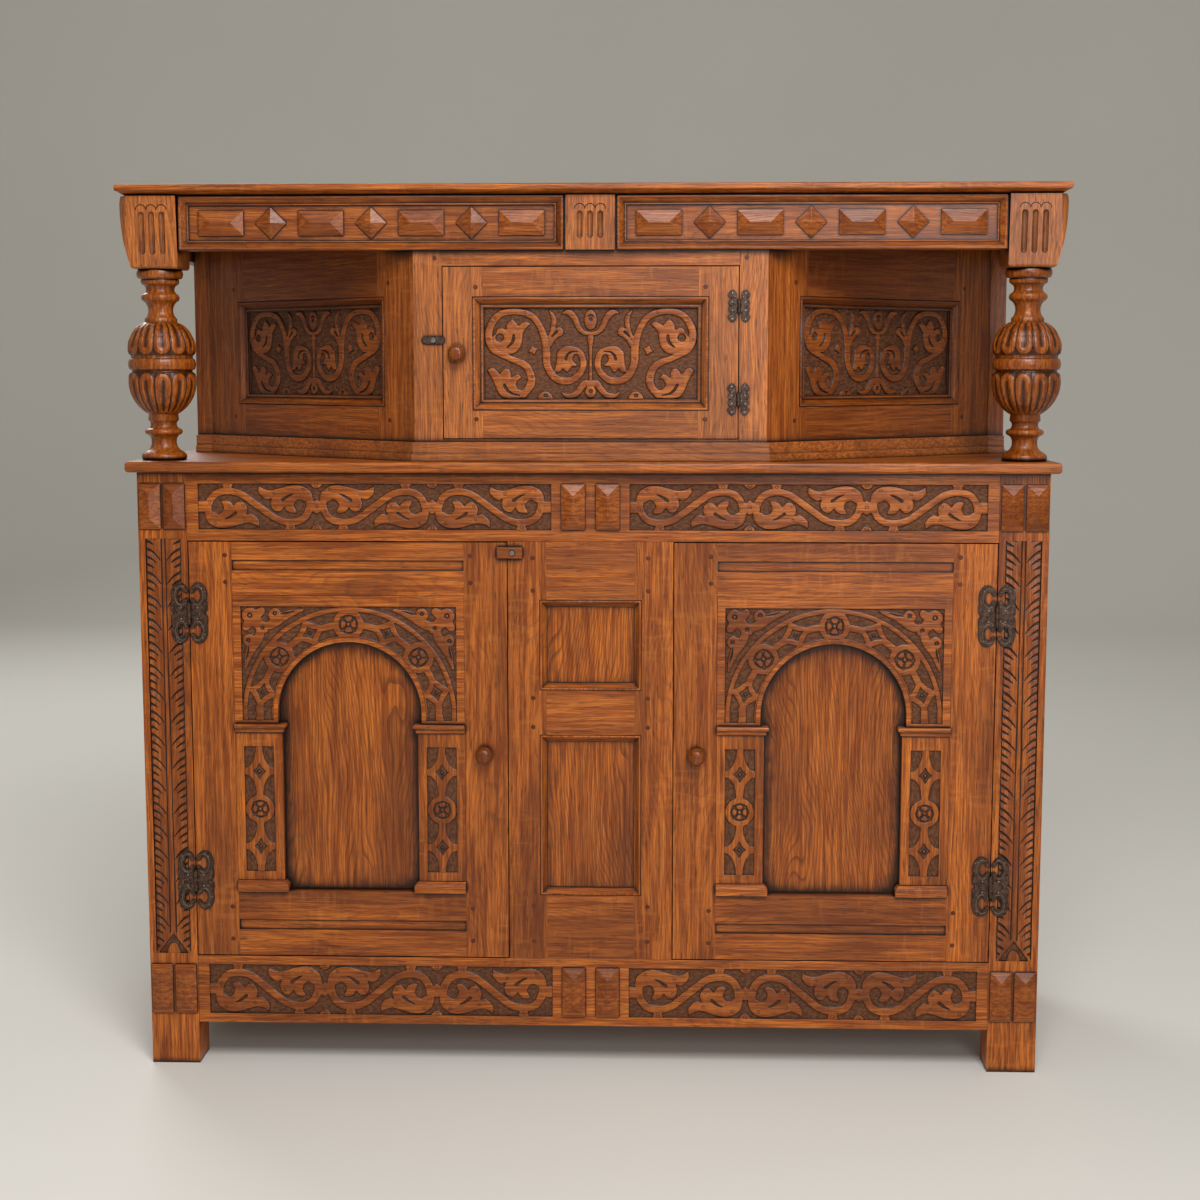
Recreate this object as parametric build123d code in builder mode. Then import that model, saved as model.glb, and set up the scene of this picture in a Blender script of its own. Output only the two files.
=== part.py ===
from build123d import *

import os
from math import atan2, cos, radians, sin, tan

os.makedirs("parts", exist_ok=True)

# Carved oak court cupboard. X runs to the right, Y from the front to the back and Z up.
# The origin is on the floor, in the middle of the width and of the whole depth, knobs included.
# All sizes are in millimetres.

# Lower case
case_width = 1345.0
case_depth = 440.0
foot_height = 65.0
bottom_rail_height = 105.0
door_height = 631.0
top_rail_height = 102.0
door_gap = 1.5
post_width = 73.0
post_depth = 60.0
rear_post_width = 45.0
rear_post_depth = 50.0
rail_thickness = 26.0
centre_frame_width = 245.0
centre_stile_width = 57.0
centre_top_rail_height = 97.0
centre_middle_rail_height = 88.0
centre_upper_panel_height = 115.0
centre_bottom_rail_height = 109.0
centre_frame_thickness = 24.0
side_rail_thickness = 22.0
side_middle_rail_height = 70.0
panel_thickness = 8.0
back_panel_thickness = 6.0
floor_thickness = 14.0
shelf_thickness = 16.0
shelf_height = 470.0
bearer_size = 22.0

# Boards that crown the two storeys
mid_board_thickness = 16.5
mid_side_overhang = 11.5
mid_front_overhang = 23.0
top_side_overhang = 2.0
top_board_thickness = 16.0
top_front_overhang = 17.0
nose_height = 10.0
nose_round = 3.0
mid_nose_round = 5.0
cove_reach = 13.0

# Upper storey
upper_height = 384.5
upper_setback = 4.0
upper_centre_width = 517.0
upper_stile_width = 41.5
upper_sill_height = 32.0
upper_rail_height = 22.5
upper_frame_thickness = 22.0
plinth_height = 28.0
plinth_projection = 12.0
plinth_upper_projection = 8.0
plinth_step = 11.0
cant_angle = 40.0
upper_side_inset = 16.5
return_thickness = 26.0
cant_inner_stile_width = 80.0
cant_outer_stile_width = 86.0
cant_bottom_rail_height = 94.0
cant_opening_height = 132.0
upper_door_stile_width = 58.0
upper_door_top_rail_height = 58.0
upper_door_bottom_rail_height = 56.0
upper_door_thickness = 20.0

# Frieze, corner blocks and columns
frieze_height = 78.0
frieze_thickness = 22.0
side_frieze_thickness = 18.0
frieze_moulding_width = 13.5
frieze_moulding_bead = 4.0
frieze_moulding_fillet = 3.0
frieze_moulding_height = 9.0
frieze_moulding_drop = 6.5
frieze_moulding_gap = 3.0
centre_block_width = 71.0
centre_block_depth = 10.0
block_width = 72.0
block_side_overhang = 2.5
block_bulge = 13.0
block_bulge_drop = 15.0
block_foot_inset = 3.0
block_front_bulge = 7.0
block_drop = 26.0
block_corner_round = 5.0
block_chamfer = 12.5
flute_radius = 4.6
flute_pitch = 15.0
flute_depth = 3.0
flute_top_margin = 22.0
flute_bottom_margin = 16.0
block_flute_bottom_margin = 20.0
scallop_drop = 20.0
scallop_line = 1.4
boss_height = 8.5
boss_edge = 2.0
ridge_flat = 0.8
frieze_boss_length = 66.0
frieze_boss_height = 36.0
frieze_diamond = 46.0
frieze_boss_margin = 28.0
column_setback = 35.0
column_radius = 50.0
turning_height = 280.0
dowel_radius = 9.0
dowel_length = 12.0

# Rail and post carving and bosses
carving_depth = 3.0
rail_carving_length = 524.0
rail_carving_start = 58.0
top_rail_carving_margin = 17.0
bottom_rail_carving_margin = 14.0
rail_boss_width = 35.0
rail_boss_spacing = 51.0
post_boss_width = 32.0
post_boss_spacing = 36.0
post_carving_width = 53.0
post_carving_rise = 3.0

# Arcaded doors
door_thickness = 22.0
door_stile_width = 64.0
door_top_rail_height = 80.0
door_bottom_rail_height = 100.0
door_groove_height = 15.5
door_groove_depth = 3.0
door_groove_drop = 27.0
door_groove_rise = 40.0
arch_radius = 108.0
arch_board_thickness = 14.0
arch_proud = 0.8
arch_border = 12.0
arch_top_border = 16.5
arch_foot_border = 5.0
arch_rise = 16.0
archivolt_band = 7.0
door_carving_depth = 2.5
pilaster_width = 70.5
pilaster_border_side = 13.0
pilaster_border_top = 22.0
pilaster_border_bottom = 14.0
capital_height = 13.0
capital_projection = 7.0
capital_round = 3.2
necking_height = 6.0
necking_projection = 3.0
base_height = 17.0
base_chamfer = 6.0
door_panel_thickness = 6.0
door_knob_inset = 34.5
door_knob_drop = 317.5

# Joinery
tenon_length = 28.0
tenon_shoulder = 9.0
tenon_fit = 0.15
short_tenon = 18.0
short_tenon_shoulder = 3.0
cant_peg_drop = 35.0
panel_border = 1.5
panel_groove = 8.0
panel_float = 1.0
peg_radius = 3.2
peg_length = 16.0
peg_fit = 0.05
peg_proud = 0.4
peg_inset = 10.0
small_moulding_width = 10.0
small_moulding_bead = 3.5
small_moulding_fillet = 1.0
small_moulding_depth = 7.0
moulding_width = 15.0
moulding_bead = 4.5
moulding_fillet = 4.5
moulding_depth = 7.0
scratch_width = 1.0
panel_recess = 9.0

# Knobs
knob_radius = 12.5
knob_reach = 28.0
knob_neck_radius = 6.0
knob_flange_radius = 9.5
knob_flange_height = 3.0
knob_neck_height = 5.0
knob_shank_radius = 5.0
knob_shank_length = 14.0
shank_fit = 0.1

# Ironwork
leaf_thickness = 2.0
leaf_width = 26.5
leaf_height = 90.0
leaf_plate_height = 34.0
leaf_ring_width = 25.0
leaf_ring_height = 37.0
leaf_eye_width = 11.5
leaf_eye_height = 21.0
leaf_eye_shift = 2.0
leaf_mouth_height = 8.0
leaf_notch_radius = 3.6
barrel_radius = 3.2
barrel_height = 31.0
knuckle_gap = 0.3
pin_radius = 1.5
pin_fit = 0.05
pin_head_radius = 2.4
pin_head_height = 1.2
hinge_stand_off = 3.8
nail_head_radius = 1.7
nail_head_height = 1.0
nail_shank_radius = 1.0
nail_shank_length = 13.0
nail_fit = 0.05
lower_hinge_drop = 107.0
lower_hinge_rise = 116.0
cock_leaf_width = 16.0
cock_leaf_height = 46.5
cock_barrel_height = 16.5
cock_barrel_radius = 2.6
upper_hinge_inset = 57.0
latch_length = 33.0
latch_height = 10.0
latch_thickness = 3.0
latch_gap = 0.3
latch_pivot_inset = 13.0
latch_rise = 143.0
upper_knob_inset = 20.5
upper_knob_rise = 124.0
button_length = 38.0
button_height = 17.0
button_thickness = 7.0
button_pivot_inset = 7.0
button_pivot_drop = 16.5
button_reach = 23.0
button_round = 2.0
screw_radius = 1.6
screw_head_radius = 3.6
screw_head_height = 1.8
screw_slot = 0.8
screw_length = 14.0
screw_fit = 0.05

# Levels and planes worked out from the sizes
half_case = case_width / 2
front = -(case_depth - knob_reach) / 2
back = front + case_depth
rail_top = foot_height + bottom_rail_height
door_bottom = rail_top + door_gap
door_top = door_bottom + door_height
head_bottom = door_top + door_gap
case_top = head_bottom + top_rail_height
mid_top = case_top + mid_board_thickness
upper_top = mid_top + upper_height
frieze_bottom = upper_top - frieze_height
post_inner = half_case - post_width
door_outer = post_inner - door_gap
centre_half = centre_frame_width / 2
door_inner = centre_half + door_gap
door_middle = (door_outer + door_inner) / 2
rear_inner = half_case - rear_post_width
upper_front = front + upper_setback
upper_half = upper_centre_width / 2
upper_door_half = upper_half - upper_stile_width - door_gap
upper_door_bottom = mid_top + upper_sill_height + door_gap
upper_door_top = frieze_bottom - upper_rail_height - door_gap
cant_outer_half = half_case - upper_side_inset - return_thickness
cant_length = (cant_outer_half - upper_half) / cos(radians(cant_angle))
cant_back = upper_front + cant_length * sin(radians(cant_angle))
block_outer_half = half_case + block_side_overhang
block_inner_half = block_outer_half - block_width
block_middle = block_inner_half + block_width / 2
block_bottom = frieze_bottom - block_drop
column_height = block_bottom - mid_top
column_y = front + column_setback


def slab(x, y, z, mode=Mode.ADD):
    """A square-edged board between the given pairs of x, y and z limits."""
    with Locations(((x[0] + x[1]) / 2, (y[0] + y[1]) / 2, (z[0] + z[1]) / 2)):
        Box(abs(x[1] - x[0]), abs(y[1] - y[0]), abs(z[1] - z[0]), mode=mode)


def face_plane(y):
    """A plane seen from the front, with its x to the right, its y up and the depth y of its face."""
    return Plane(origin=(0, y, 0), x_dir=(1, 0, 0), z_dir=(0, -1, 0))


def save(part, label):
    """Name a finished piece and write it to its own file."""
    part.part.label = label
    export_step(part.part, f"parts/{label}.step")


def save_pair(part, label):
    """Save a piece of the right-hand door, and its mirror image for the left-hand one."""
    save(part, f"right_{label}")
    with BuildPart() as twin:
        mirror(part.part, about=Plane.YZ)
    save(twin, f"left_{label}")


def frustum(plane, centre, outer, inner, depth, mode):
    """A four-sided taper from the outer rectangle on the plane to the inner one, depth behind it."""
    with BuildSketch(plane) as mouth:
        with Locations(centre):
            Rectangle(*outer)
    with BuildSketch(plane.offset(-depth)) as bottom:
        with Locations(centre):
            Rectangle(*inner)
    loft([mouth.sketch, bottom.sketch], mode=mode)


def moulded_edge(plane, x, z, width, bead, fillet, depth):
    """A moulding run round the opening between x and z: a flush bead, a slope and a low fillet."""
    centre = ((x[0] + x[1]) / 2, (z[0] + z[1]) / 2)
    across, height = abs(x[1] - x[0]), abs(z[1] - z[0])
    rim = 2 * (width - bead)
    outer = (across + rim, height + rim)
    inner = (across + 2 * fillet, height + 2 * fillet)
    frustum(plane, centre, outer, inner, depth, Mode.SUBTRACT)
    groove_outer = 2 * width + scratch_width
    groove_inner = 2 * width - scratch_width
    with BuildSketch(plane) as scratch:
        with Locations(centre):
            Rectangle(across + groove_outer, height + groove_outer)
            Rectangle(across + groove_inner, height + groove_inner, mode=Mode.SUBTRACT)
    extrude(scratch.sketch, amount=-scratch_width, mode=Mode.SUBTRACT)


def small_moulding(plane, x, z):
    """The narrow moulding of the lower case."""
    moulded_edge(
        plane, x, z, small_moulding_width, small_moulding_bead, small_moulding_fillet, small_moulding_depth
    )


def wide_moulding(plane, x, z):
    """The wider moulding round the carved panels of the upper storey."""
    moulded_edge(plane, x, z, moulding_width, moulding_bead, moulding_fillet, moulding_depth)


def tenon_bar(x, y, z, fit=0.0, mode=Mode.ADD):
    """The bar whose ends are a rail's two tenons; cut with fit, it makes their mortises."""
    third = (y[1] - y[0]) / 3
    slab(
        (x[0] - tenon_length - 2 * fit, x[1] + tenon_length + 2 * fit),
        (y[0] + third - fit, y[1] - third + fit),
        (z[0] + tenon_shoulder - fit, z[1] - tenon_shoulder + fit),
        mode,
    )


def peg_points(x, levels, moulding=0.0):
    """Where the pegs go beside an opening between x: in both stiles, at each level."""
    reach = moulding + peg_inset
    return [(edge, level) for edge in (x[0] - reach, x[1] + reach) for level in levels]


def rail_levels(z):
    """The two peg heights of a deep rail, or the one of a shallow rail."""
    height = z[1] - z[0]
    if height < 2 * tenon_length:
        return [(z[0] + z[1]) / 2]
    return [z[0] + height / 4, z[1] - height / 4]


def bore(points, y, radius, depth):
    """Round holes from the face at y, each at the given x and z."""
    with Locations(*[(x, y + depth / 2, z) for x, z in points]):
        Cylinder(radius, depth, rotation=(90, 0, 0), mode=Mode.SUBTRACT)


def peg_cut(points, y):
    """Bore the peg holes from the face at y."""
    bore(points, y, peg_radius + peg_fit, peg_length)


def pegs(points, y):
    """Oak pegs that stand slightly proud of the face at y."""
    length = peg_length + peg_proud - peg_fit
    with Locations(*[(x, y - peg_proud + length / 2, z) for x, z in points]):
        Cylinder(peg_radius, length, rotation=(90, 0, 0))


def panel_in_grooves(x, y, z):
    """A panel in the opening between x and z, with its tongues on all four sides."""
    reach = panel_groove - panel_float
    slab((x[0] - reach, x[1] + reach), y, (z[0] - reach, z[1] + reach))


def groove_cut(x, y, z):
    """The groove that takes a panel's tongues, round the opening between x and z."""
    slab(
        (x[0] - panel_groove, x[1] + panel_groove),
        y,
        (z[0] - panel_groove, z[1] + panel_groove),
        Mode.SUBTRACT,
    )


def boss(plane, centre, length, height):
    """A faceted boss with an upright edge and four slopes up to a ridge."""
    ridge = (max(length - height, 0) + ridge_flat, max(height - length, 0) + ridge_flat)
    with BuildSketch(plane) as foot:
        with Locations(centre):
            Rectangle(length, height)
    extrude(foot.sketch, amount=boss_edge)
    with BuildSketch(plane.offset(boss_edge)) as shoulder:
        with Locations(centre):
            Rectangle(length, height)
    with BuildSketch(plane.offset(boss_height)) as crest:
        with Locations(centre):
            Rectangle(*ridge)
    loft([shoulder.sketch, crest.sketch])


def diamond_boss(plane, centre, size):
    """A four-sided pyramid set on one corner, size from corner to corner."""
    side = size * sin(radians(45))
    with BuildSketch(plane) as foot:
        with Locations(centre):
            Rectangle(side, side, rotation=45)
    extrude(foot.sketch, amount=boss_edge)
    with BuildSketch(plane.offset(boss_edge)) as shoulder:
        with Locations(centre):
            Rectangle(side, side, rotation=45)
    with BuildSketch(plane.offset(boss_height)) as crest:
        with Locations(centre):
            Rectangle(ridge_flat, ridge_flat, rotation=45)
    loft([shoulder.sketch, crest.sketch])


# ---------------------------------------------------------------- hinges

joint_x = (door_outer + post_inner) / 2
upper_joint_x = upper_half - upper_stile_width - door_gap / 2
lower_hinges = [
    (joint_x, front, door_top - lower_hinge_drop),
    (joint_x, front, door_bottom + lower_hinge_rise),
]
upper_hinges = [
    (upper_joint_x, upper_front, upper_door_top - upper_hinge_inset),
    (upper_joint_x, upper_front, upper_door_bottom + upper_hinge_inset),
]
leaf_root = barrel_radius + knuckle_gap
ring_height = (leaf_height - leaf_ring_height) / 2
ring_middle = leaf_width - leaf_ring_width / 2
eye_middle = ring_middle - leaf_eye_shift
ring_nail = leaf_width - leaf_eye_width / 2 - nail_head_radius
scroll_nails = [
    (ring_nail, ring_height + leaf_eye_height / 2),
    (eye_middle, leaf_plate_height / 4),
    (eye_middle, -leaf_plate_height / 4),
    (ring_nail, -ring_height - leaf_eye_height / 2),
]
# Half of the outline of a cock's-head leaf, from its middle notch up over the beak to the root.
cock_outline = (
    (0.52, 0.0),
    (0.92, 0.08),
    (0.90, 0.32),
    (0.66, 0.46),
    (0.66, 0.54),
    (1.0, 0.60),
    (0.94, 0.76),
    (0.62, 1.0),
    (0.30, 0.84),
    (0.24, 0.68),
    (0.36, 0.50),
    (0.30, 0.38),
)
cock_eye = 0.6
cock_nails = [
    (cock_leaf_width * cock_eye, cock_leaf_height / 2 * height) for height in (0.8, 0.25, -0.25, -0.8)
]


def leaf_plane(point, side):
    """A plane on the wood at a hinge: its x runs away from the joint, to the given side."""
    return Plane(origin=point, x_dir=(side, 0, 0), z_dir=(0, -1, 0))


def scroll_leaf(plane):
    """The flat of a large leaf: a plate between two open rings, with a notch in its outer edge."""
    with BuildSketch(plane) as flat:
        with Locations(((leaf_root + leaf_width) / 2, 0)):
            Rectangle(leaf_width - leaf_root, leaf_plate_height)
        with Locations((ring_middle, ring_height), (ring_middle, -ring_height)):
            Ellipse(leaf_ring_width / 2, leaf_ring_height / 2)
        with Locations((eye_middle, ring_height), (eye_middle, -ring_height)):
            Ellipse(leaf_eye_width / 2, leaf_eye_height / 2, mode=Mode.SUBTRACT)
        with Locations((0, ring_height), (0, -ring_height)):
            Rectangle(2 * eye_middle, leaf_mouth_height, mode=Mode.SUBTRACT)
        with Locations((leaf_width, 0)):
            Circle(leaf_notch_radius, mode=Mode.SUBTRACT)
        with Locations(*scroll_nails):
            Circle(nail_shank_radius + nail_fit, mode=Mode.SUBTRACT)
    extrude(flat.sketch, amount=leaf_thickness)


def cock_leaf(plane):
    """The flat of a small leaf, which ends in a cock's head above and below."""
    half = [(cock_leaf_width * u, cock_leaf_height / 2 * v) for u, v in cock_outline]
    root = [(leaf_root, half[-1][1]), (leaf_root, -half[-1][1])]
    other = [(u, -v) for u, v in reversed(half[1:])]
    with BuildSketch(plane) as flat:
        with BuildLine():
            Polyline(*half, *root, *other, close=True)
        make_face()
        with Locations(*cock_nails):
            Circle(nail_shank_radius + nail_fit, mode=Mode.SUBTRACT)
    extrude(flat.sketch, amount=leaf_thickness)


def knuckles(plane, radius, height, bands):
    """The leaf's share of the barrel: the given bands of its three, each tied to the plate."""
    band_height = height / 3 - knuckle_gap
    tie = (hinge_stand_off - radius, leaf_thickness)
    for band in bands:
        middle = band * height / 3
        with Locations(plane.location * Location((leaf_root / 2, middle, sum(tie) / 2))):
            Box(leaf_root, band_height, tie[1] - tie[0])
        with Locations(plane.location * Location((0, middle, hinge_stand_off), (90, 0, 0))):
            Cylinder(radius, band_height)
        with Locations(plane.location * Location((0, middle, hinge_stand_off), (90, 0, 0))):
            Cylinder(pin_radius + pin_fit, band_height, mode=Mode.SUBTRACT)


def nail_cut(hinges, side, layout):
    """The nail holes in the wood under the leaves on one side of the hinges."""
    for hinge in hinges:
        plane = leaf_plane(hinge, side)
        for u, v in layout:
            with Locations(plane.location * Location((u, v, -nail_shank_length / 2))):
                Cylinder(nail_shank_radius + nail_fit, nail_shank_length, mode=Mode.SUBTRACT)


def nails(hinges, side, layout):
    """Low-headed nails through the leaves on one side of the hinges."""
    length = nail_shank_length + leaf_thickness - panel_float
    for hinge in hinges:
        plane = leaf_plane(hinge, side)
        for u, v in layout:
            with Locations(plane.location * Location((u, v, leaf_thickness - length / 2))):
                Cylinder(nail_shank_radius, length)
            with Locations(plane.location * Location((u, v, leaf_thickness + nail_head_height / 2))):
                Cone(nail_head_radius, nail_shank_radius, nail_head_height)


def leaves(hinges, side, flat, barrel, bands):
    """The leaves on one side of the hinges: their flats and their knuckles."""
    for hinge in hinges:
        plane = leaf_plane(hinge, side)
        flat(plane)
        knuckles(plane, *barrel, bands)


def hinge_pins_at(hinges, height):
    """Headed pins down the barrels of the hinges."""
    head_base = (height - knuckle_gap) / 2
    for x, y, z in hinges:
        with Locations((x, y - hinge_stand_off, z)):
            Cylinder(pin_radius, 2 * head_base)
        for end in (-1, 1):
            with Locations((x, y - hinge_stand_off, z + end * (head_base + pin_head_height / 2))):
                Cylinder(pin_head_radius, pin_head_height)


# ---------------------------------------------------------------- lower case

front_face = face_plane(front)
bottom_rail_z = (foot_height, rail_top)
top_rail_z = (head_bottom, case_top)
front_rail_y = (front, front + rail_thickness)
post_span = (-post_inner, post_inner)
side_rail_y = (front + post_depth, back - rear_post_depth)
side_rail_x = (half_case - side_rail_thickness, half_case)
side_middle_z = (
    (rail_top + head_bottom - side_middle_rail_height) / 2,
    (rail_top + head_bottom + side_middle_rail_height) / 2,
)
side_rail_levels = (bottom_rail_z, side_middle_z, top_rail_z)
side_openings = ((rail_top, side_middle_z[0]), (side_middle_z[1], head_bottom))
side_panel_x = (
    half_case - (side_rail_thickness + panel_thickness) / 2,
    half_case - (side_rail_thickness - panel_thickness) / 2,
)


def side_tenons(side, fit, mode):
    """The tenons of one side's rails, which run from the front to the back."""
    third = side_rail_thickness / 3
    for z in side_rail_levels:
        slab(
            (side * (side_rail_x[0] + third - fit), side * (side_rail_x[1] - third + fit)),
            (side_rail_y[0] - tenon_length - 2 * fit, side_rail_y[1] + tenon_length + 2 * fit),
            (z[0] + tenon_shoulder - fit, z[1] - tenon_shoulder + fit),
            mode,
        )


def side_grooves(side):
    """The grooves for one side's panels."""
    for z in side_openings:
        slab(
            (side * side_panel_x[0], side * side_panel_x[1]),
            (side_rail_y[0] - panel_groove, side_rail_y[1] + panel_groove),
            (z[0] - panel_groove, z[1] + panel_groove),
            Mode.SUBTRACT,
        )


post_middle = half_case - post_width / 2
post_carving_z = (rail_top + post_carving_rise, head_bottom + post_carving_rise)

with BuildPart() as front_posts:
    for side in (-1, 1):
        slab((side * post_inner, side * half_case), (front, front + post_depth), (0, case_top))
        with BuildSketch(front_face):
            with Locations((side * post_middle, sum(post_carving_z) / 2)):
                Rectangle(post_carving_width, post_carving_z[1] - post_carving_z[0])
        extrude(amount=-carving_depth, mode=Mode.SUBTRACT)
        side_tenons(side, tenon_fit, Mode.SUBTRACT)
        side_grooves(side)
    for z in (bottom_rail_z, top_rail_z):
        tenon_bar(post_span, front_rail_y, z, tenon_fit, Mode.SUBTRACT)
    nail_cut(lower_hinges, 1, scroll_nails)
    nail_cut([(-x, y, z) for x, y, z in lower_hinges], -1, scroll_nails)
save(front_posts, "front_posts")

with BuildPart() as rear_posts:
    for side in (-1, 1):
        slab((side * rear_inner, side * half_case), (back - rear_post_depth, back), (0, case_top))
        side_tenons(side, tenon_fit, Mode.SUBTRACT)
        side_grooves(side)
    slab(
        (-half_case + rear_post_width / 2, half_case - rear_post_width / 2),
        (back - back_panel_thickness, back),
        (rail_top - floor_thickness, case_top),
        Mode.SUBTRACT,
    )
save(rear_posts, "rear_posts")


def rail_carving(z, margin):
    """Sink the two carved fields of a front rail."""
    height = z[1] - z[0] - 2 * margin
    with BuildSketch(front_face) as fields:
        for side in (-1, 1):
            with Locations((side * (rail_carving_start + rail_carving_length / 2), sum(z) / 2)):
                Rectangle(rail_carving_length, height)
    extrude(fields.sketch, amount=-carving_depth, mode=Mode.SUBTRACT)


button_pivot = (-centre_half + button_pivot_inset, head_bottom - button_pivot_drop)
centre_stile_inner = centre_half - centre_stile_width
centre_opening_x = (-centre_stile_inner, centre_stile_inner)
centre_y = (front, front + centre_frame_thickness)
centre_panel_y = (front + panel_recess, front + panel_recess + panel_thickness)
centre_top_z = (head_bottom - centre_top_rail_height, head_bottom)
centre_upper_z = (centre_top_z[0] - centre_upper_panel_height, centre_top_z[0])
centre_middle_z = (centre_upper_z[0] - centre_middle_rail_height, centre_upper_z[0])
centre_bottom_z = (rail_top, rail_top + centre_bottom_rail_height)
centre_lower_z = (centre_bottom_z[1], centre_middle_z[0])
centre_rail_levels = (centre_bottom_z, centre_middle_z, centre_top_z)
centre_openings = (centre_lower_z, centre_upper_z)
centre_peg_points = [
    point
    for z in centre_rail_levels
    for point in peg_points(centre_opening_x, rail_levels(z), small_moulding_width)
]

carved_rails = ((bottom_rail_z, bottom_rail_carving_margin), (top_rail_z, top_rail_carving_margin))
with BuildPart() as front_rails:
    for z, margin in carved_rails:
        slab(post_span, front_rail_y, z)
        tenon_bar(post_span, front_rail_y, z)
        rail_carving(z, margin)
save(front_rails, "front_rails")

with BuildPart() as centre_stiles:
    for side in (-1, 1):
        slab((side * centre_stile_inner, side * centre_half), centre_y, (rail_top, head_bottom))
    for z in centre_rail_levels:
        tenon_bar(centre_opening_x, centre_y, z, tenon_fit, Mode.SUBTRACT)
    for z in centre_openings:
        groove_cut(centre_opening_x, centre_panel_y, z)
        small_moulding(front_face, centre_opening_x, z)
    peg_cut(centre_peg_points, front)
    bore([button_pivot], front, screw_radius + screw_fit, screw_length)
save(centre_stiles, "centre_stiles")

with BuildPart() as centre_rails:
    for z in centre_rail_levels:
        slab(centre_opening_x, centre_y, z)
        tenon_bar(centre_opening_x, centre_y, z)
    for z in centre_openings:
        groove_cut(centre_opening_x, centre_panel_y, z)
        small_moulding(front_face, centre_opening_x, z)
    peg_cut(centre_peg_points, front)
save(centre_rails, "centre_rails")

with BuildPart() as centre_panels:
    for z in centre_openings:
        panel_in_grooves(centre_opening_x, centre_panel_y, z)
save(centre_panels, "centre_panels")

with BuildPart() as side_rails:
    for side in (-1, 1):
        for z in side_rail_levels:
            slab((side * side_rail_x[0], side * side_rail_x[1]), side_rail_y, z)
        side_tenons(side, 0.0, Mode.ADD)
        side_grooves(side)
save(side_rails, "side_rails")

with BuildPart() as side_panels:
    reach = panel_groove - panel_float
    for side in (-1, 1):
        for z in side_openings:
            slab(
                (side * side_panel_x[0], side * side_panel_x[1]),
                (side_rail_y[0] - reach, side_rail_y[1] + reach),
                (z[0] - reach, z[1] + reach),
            )
save(side_panels, "side_panels")

inner_half = half_case - side_rail_thickness
floor_z = (rail_top - floor_thickness, rail_top)
shelf_z = (shelf_height - shelf_thickness, shelf_height)
inside_y = (front + rail_thickness, back - back_panel_thickness)


def notch_posts(z):
    """Notch a board round the four posts."""
    for side in (-1, 1):
        slab((side * post_inner, side * half_case), (front, front + post_depth), z, Mode.SUBTRACT)
        slab((side * rear_inner, side * half_case), (back - rear_post_depth, back), z, Mode.SUBTRACT)


with BuildPart() as shelf_boards:
    for z in (floor_z, shelf_z):
        slab((-inner_half, inner_half), inside_y, z)
        notch_posts(z)
save(shelf_boards, "shelf_boards")

with BuildPart() as shelf_bearers:
    for side in (-1, 1):
        for top in (floor_z[0], shelf_z[0]):
            slab(
                (side * (inner_half - bearer_size), side * inner_half),
                (front + post_depth, back - rear_post_depth),
                (top - bearer_size, top),
            )
save(shelf_bearers, "shelf_bearers")

rear_rebate = half_case - rear_post_width / 2
upper_rebate = cant_outer_half
with BuildPart() as back_panels:
    slab((-rear_rebate, rear_rebate), (back - back_panel_thickness, back), (floor_z[0], case_top))
    slab((-upper_rebate, upper_rebate), (back - back_panel_thickness, back), (mid_top, upper_top))
save(back_panels, "back_panels")

with BuildPart() as rail_bosses:
    for z, margin in carved_rails:
        height = z[1] - z[0] - 2 * margin
        for side in (-1, 1):
            boss(front_face, (side * rail_boss_spacing / 2, sum(z) / 2), rail_boss_width, height)
            for step in (-1, 1):
                x = side * post_middle + step * post_boss_spacing / 2
                boss(front_face, (x, sum(z) / 2), post_boss_width, height)
save(rail_bosses, "rail_bosses")


def nose_edges(solid, ends, y):
    """The level arrises along a board's front, at y, and along the ends given by their x."""
    arrises = solid.edges().filter_by(Axis.X).filter_by_position(Axis.Y, y, y)
    for x in ends:
        arrises += solid.edges().filter_by(Axis.Y).filter_by_position(Axis.X, x, x)
    return arrises


dowel_points = [(side * block_middle, column_y) for side in (-1, 1)]
mid_half = half_case + mid_side_overhang
mid_y = (front - mid_front_overhang, back)
with BuildPart() as mid_board:
    slab((-mid_half, mid_half), mid_y, (case_top, mid_top))
    fillet(nose_edges(mid_board.part, (-mid_half, mid_half), mid_y[0]), mid_nose_round)
    with Locations(*[(x, y, mid_top - dowel_length / 2) for x, y in dowel_points]):
        Cylinder(dowel_radius + shank_fit, dowel_length, mode=Mode.SUBTRACT)
save(mid_board, "mid_board")

# ---------------------------------------------------------------- upper storey

top_half = block_outer_half + block_bulge + top_side_overhang
top_y = (front - top_front_overhang, back)
top_z = (upper_top, upper_top + top_board_thickness)
cove_top = top_z[1] - nose_height
with BuildPart() as top_board:
    slab((-top_half, top_half), top_y, (cove_top, top_z[1]))
    fillet(nose_edges(top_board.part, (-top_half, top_half), top_y[0]), nose_round)
    layers = ((upper_top, cove_reach), (cove_top, nose_round))
    covers = []
    for level, reach in layers:
        with BuildSketch(Plane.XY.offset(level)) as layer:
            with Locations((0, (top_y[0] + reach + top_y[1]) / 2)):
                Rectangle(2 * (top_half - reach), top_y[1] - top_y[0] - reach)
        covers.append(layer.sketch)
    loft(covers)
save(top_board, "top_board")

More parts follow.
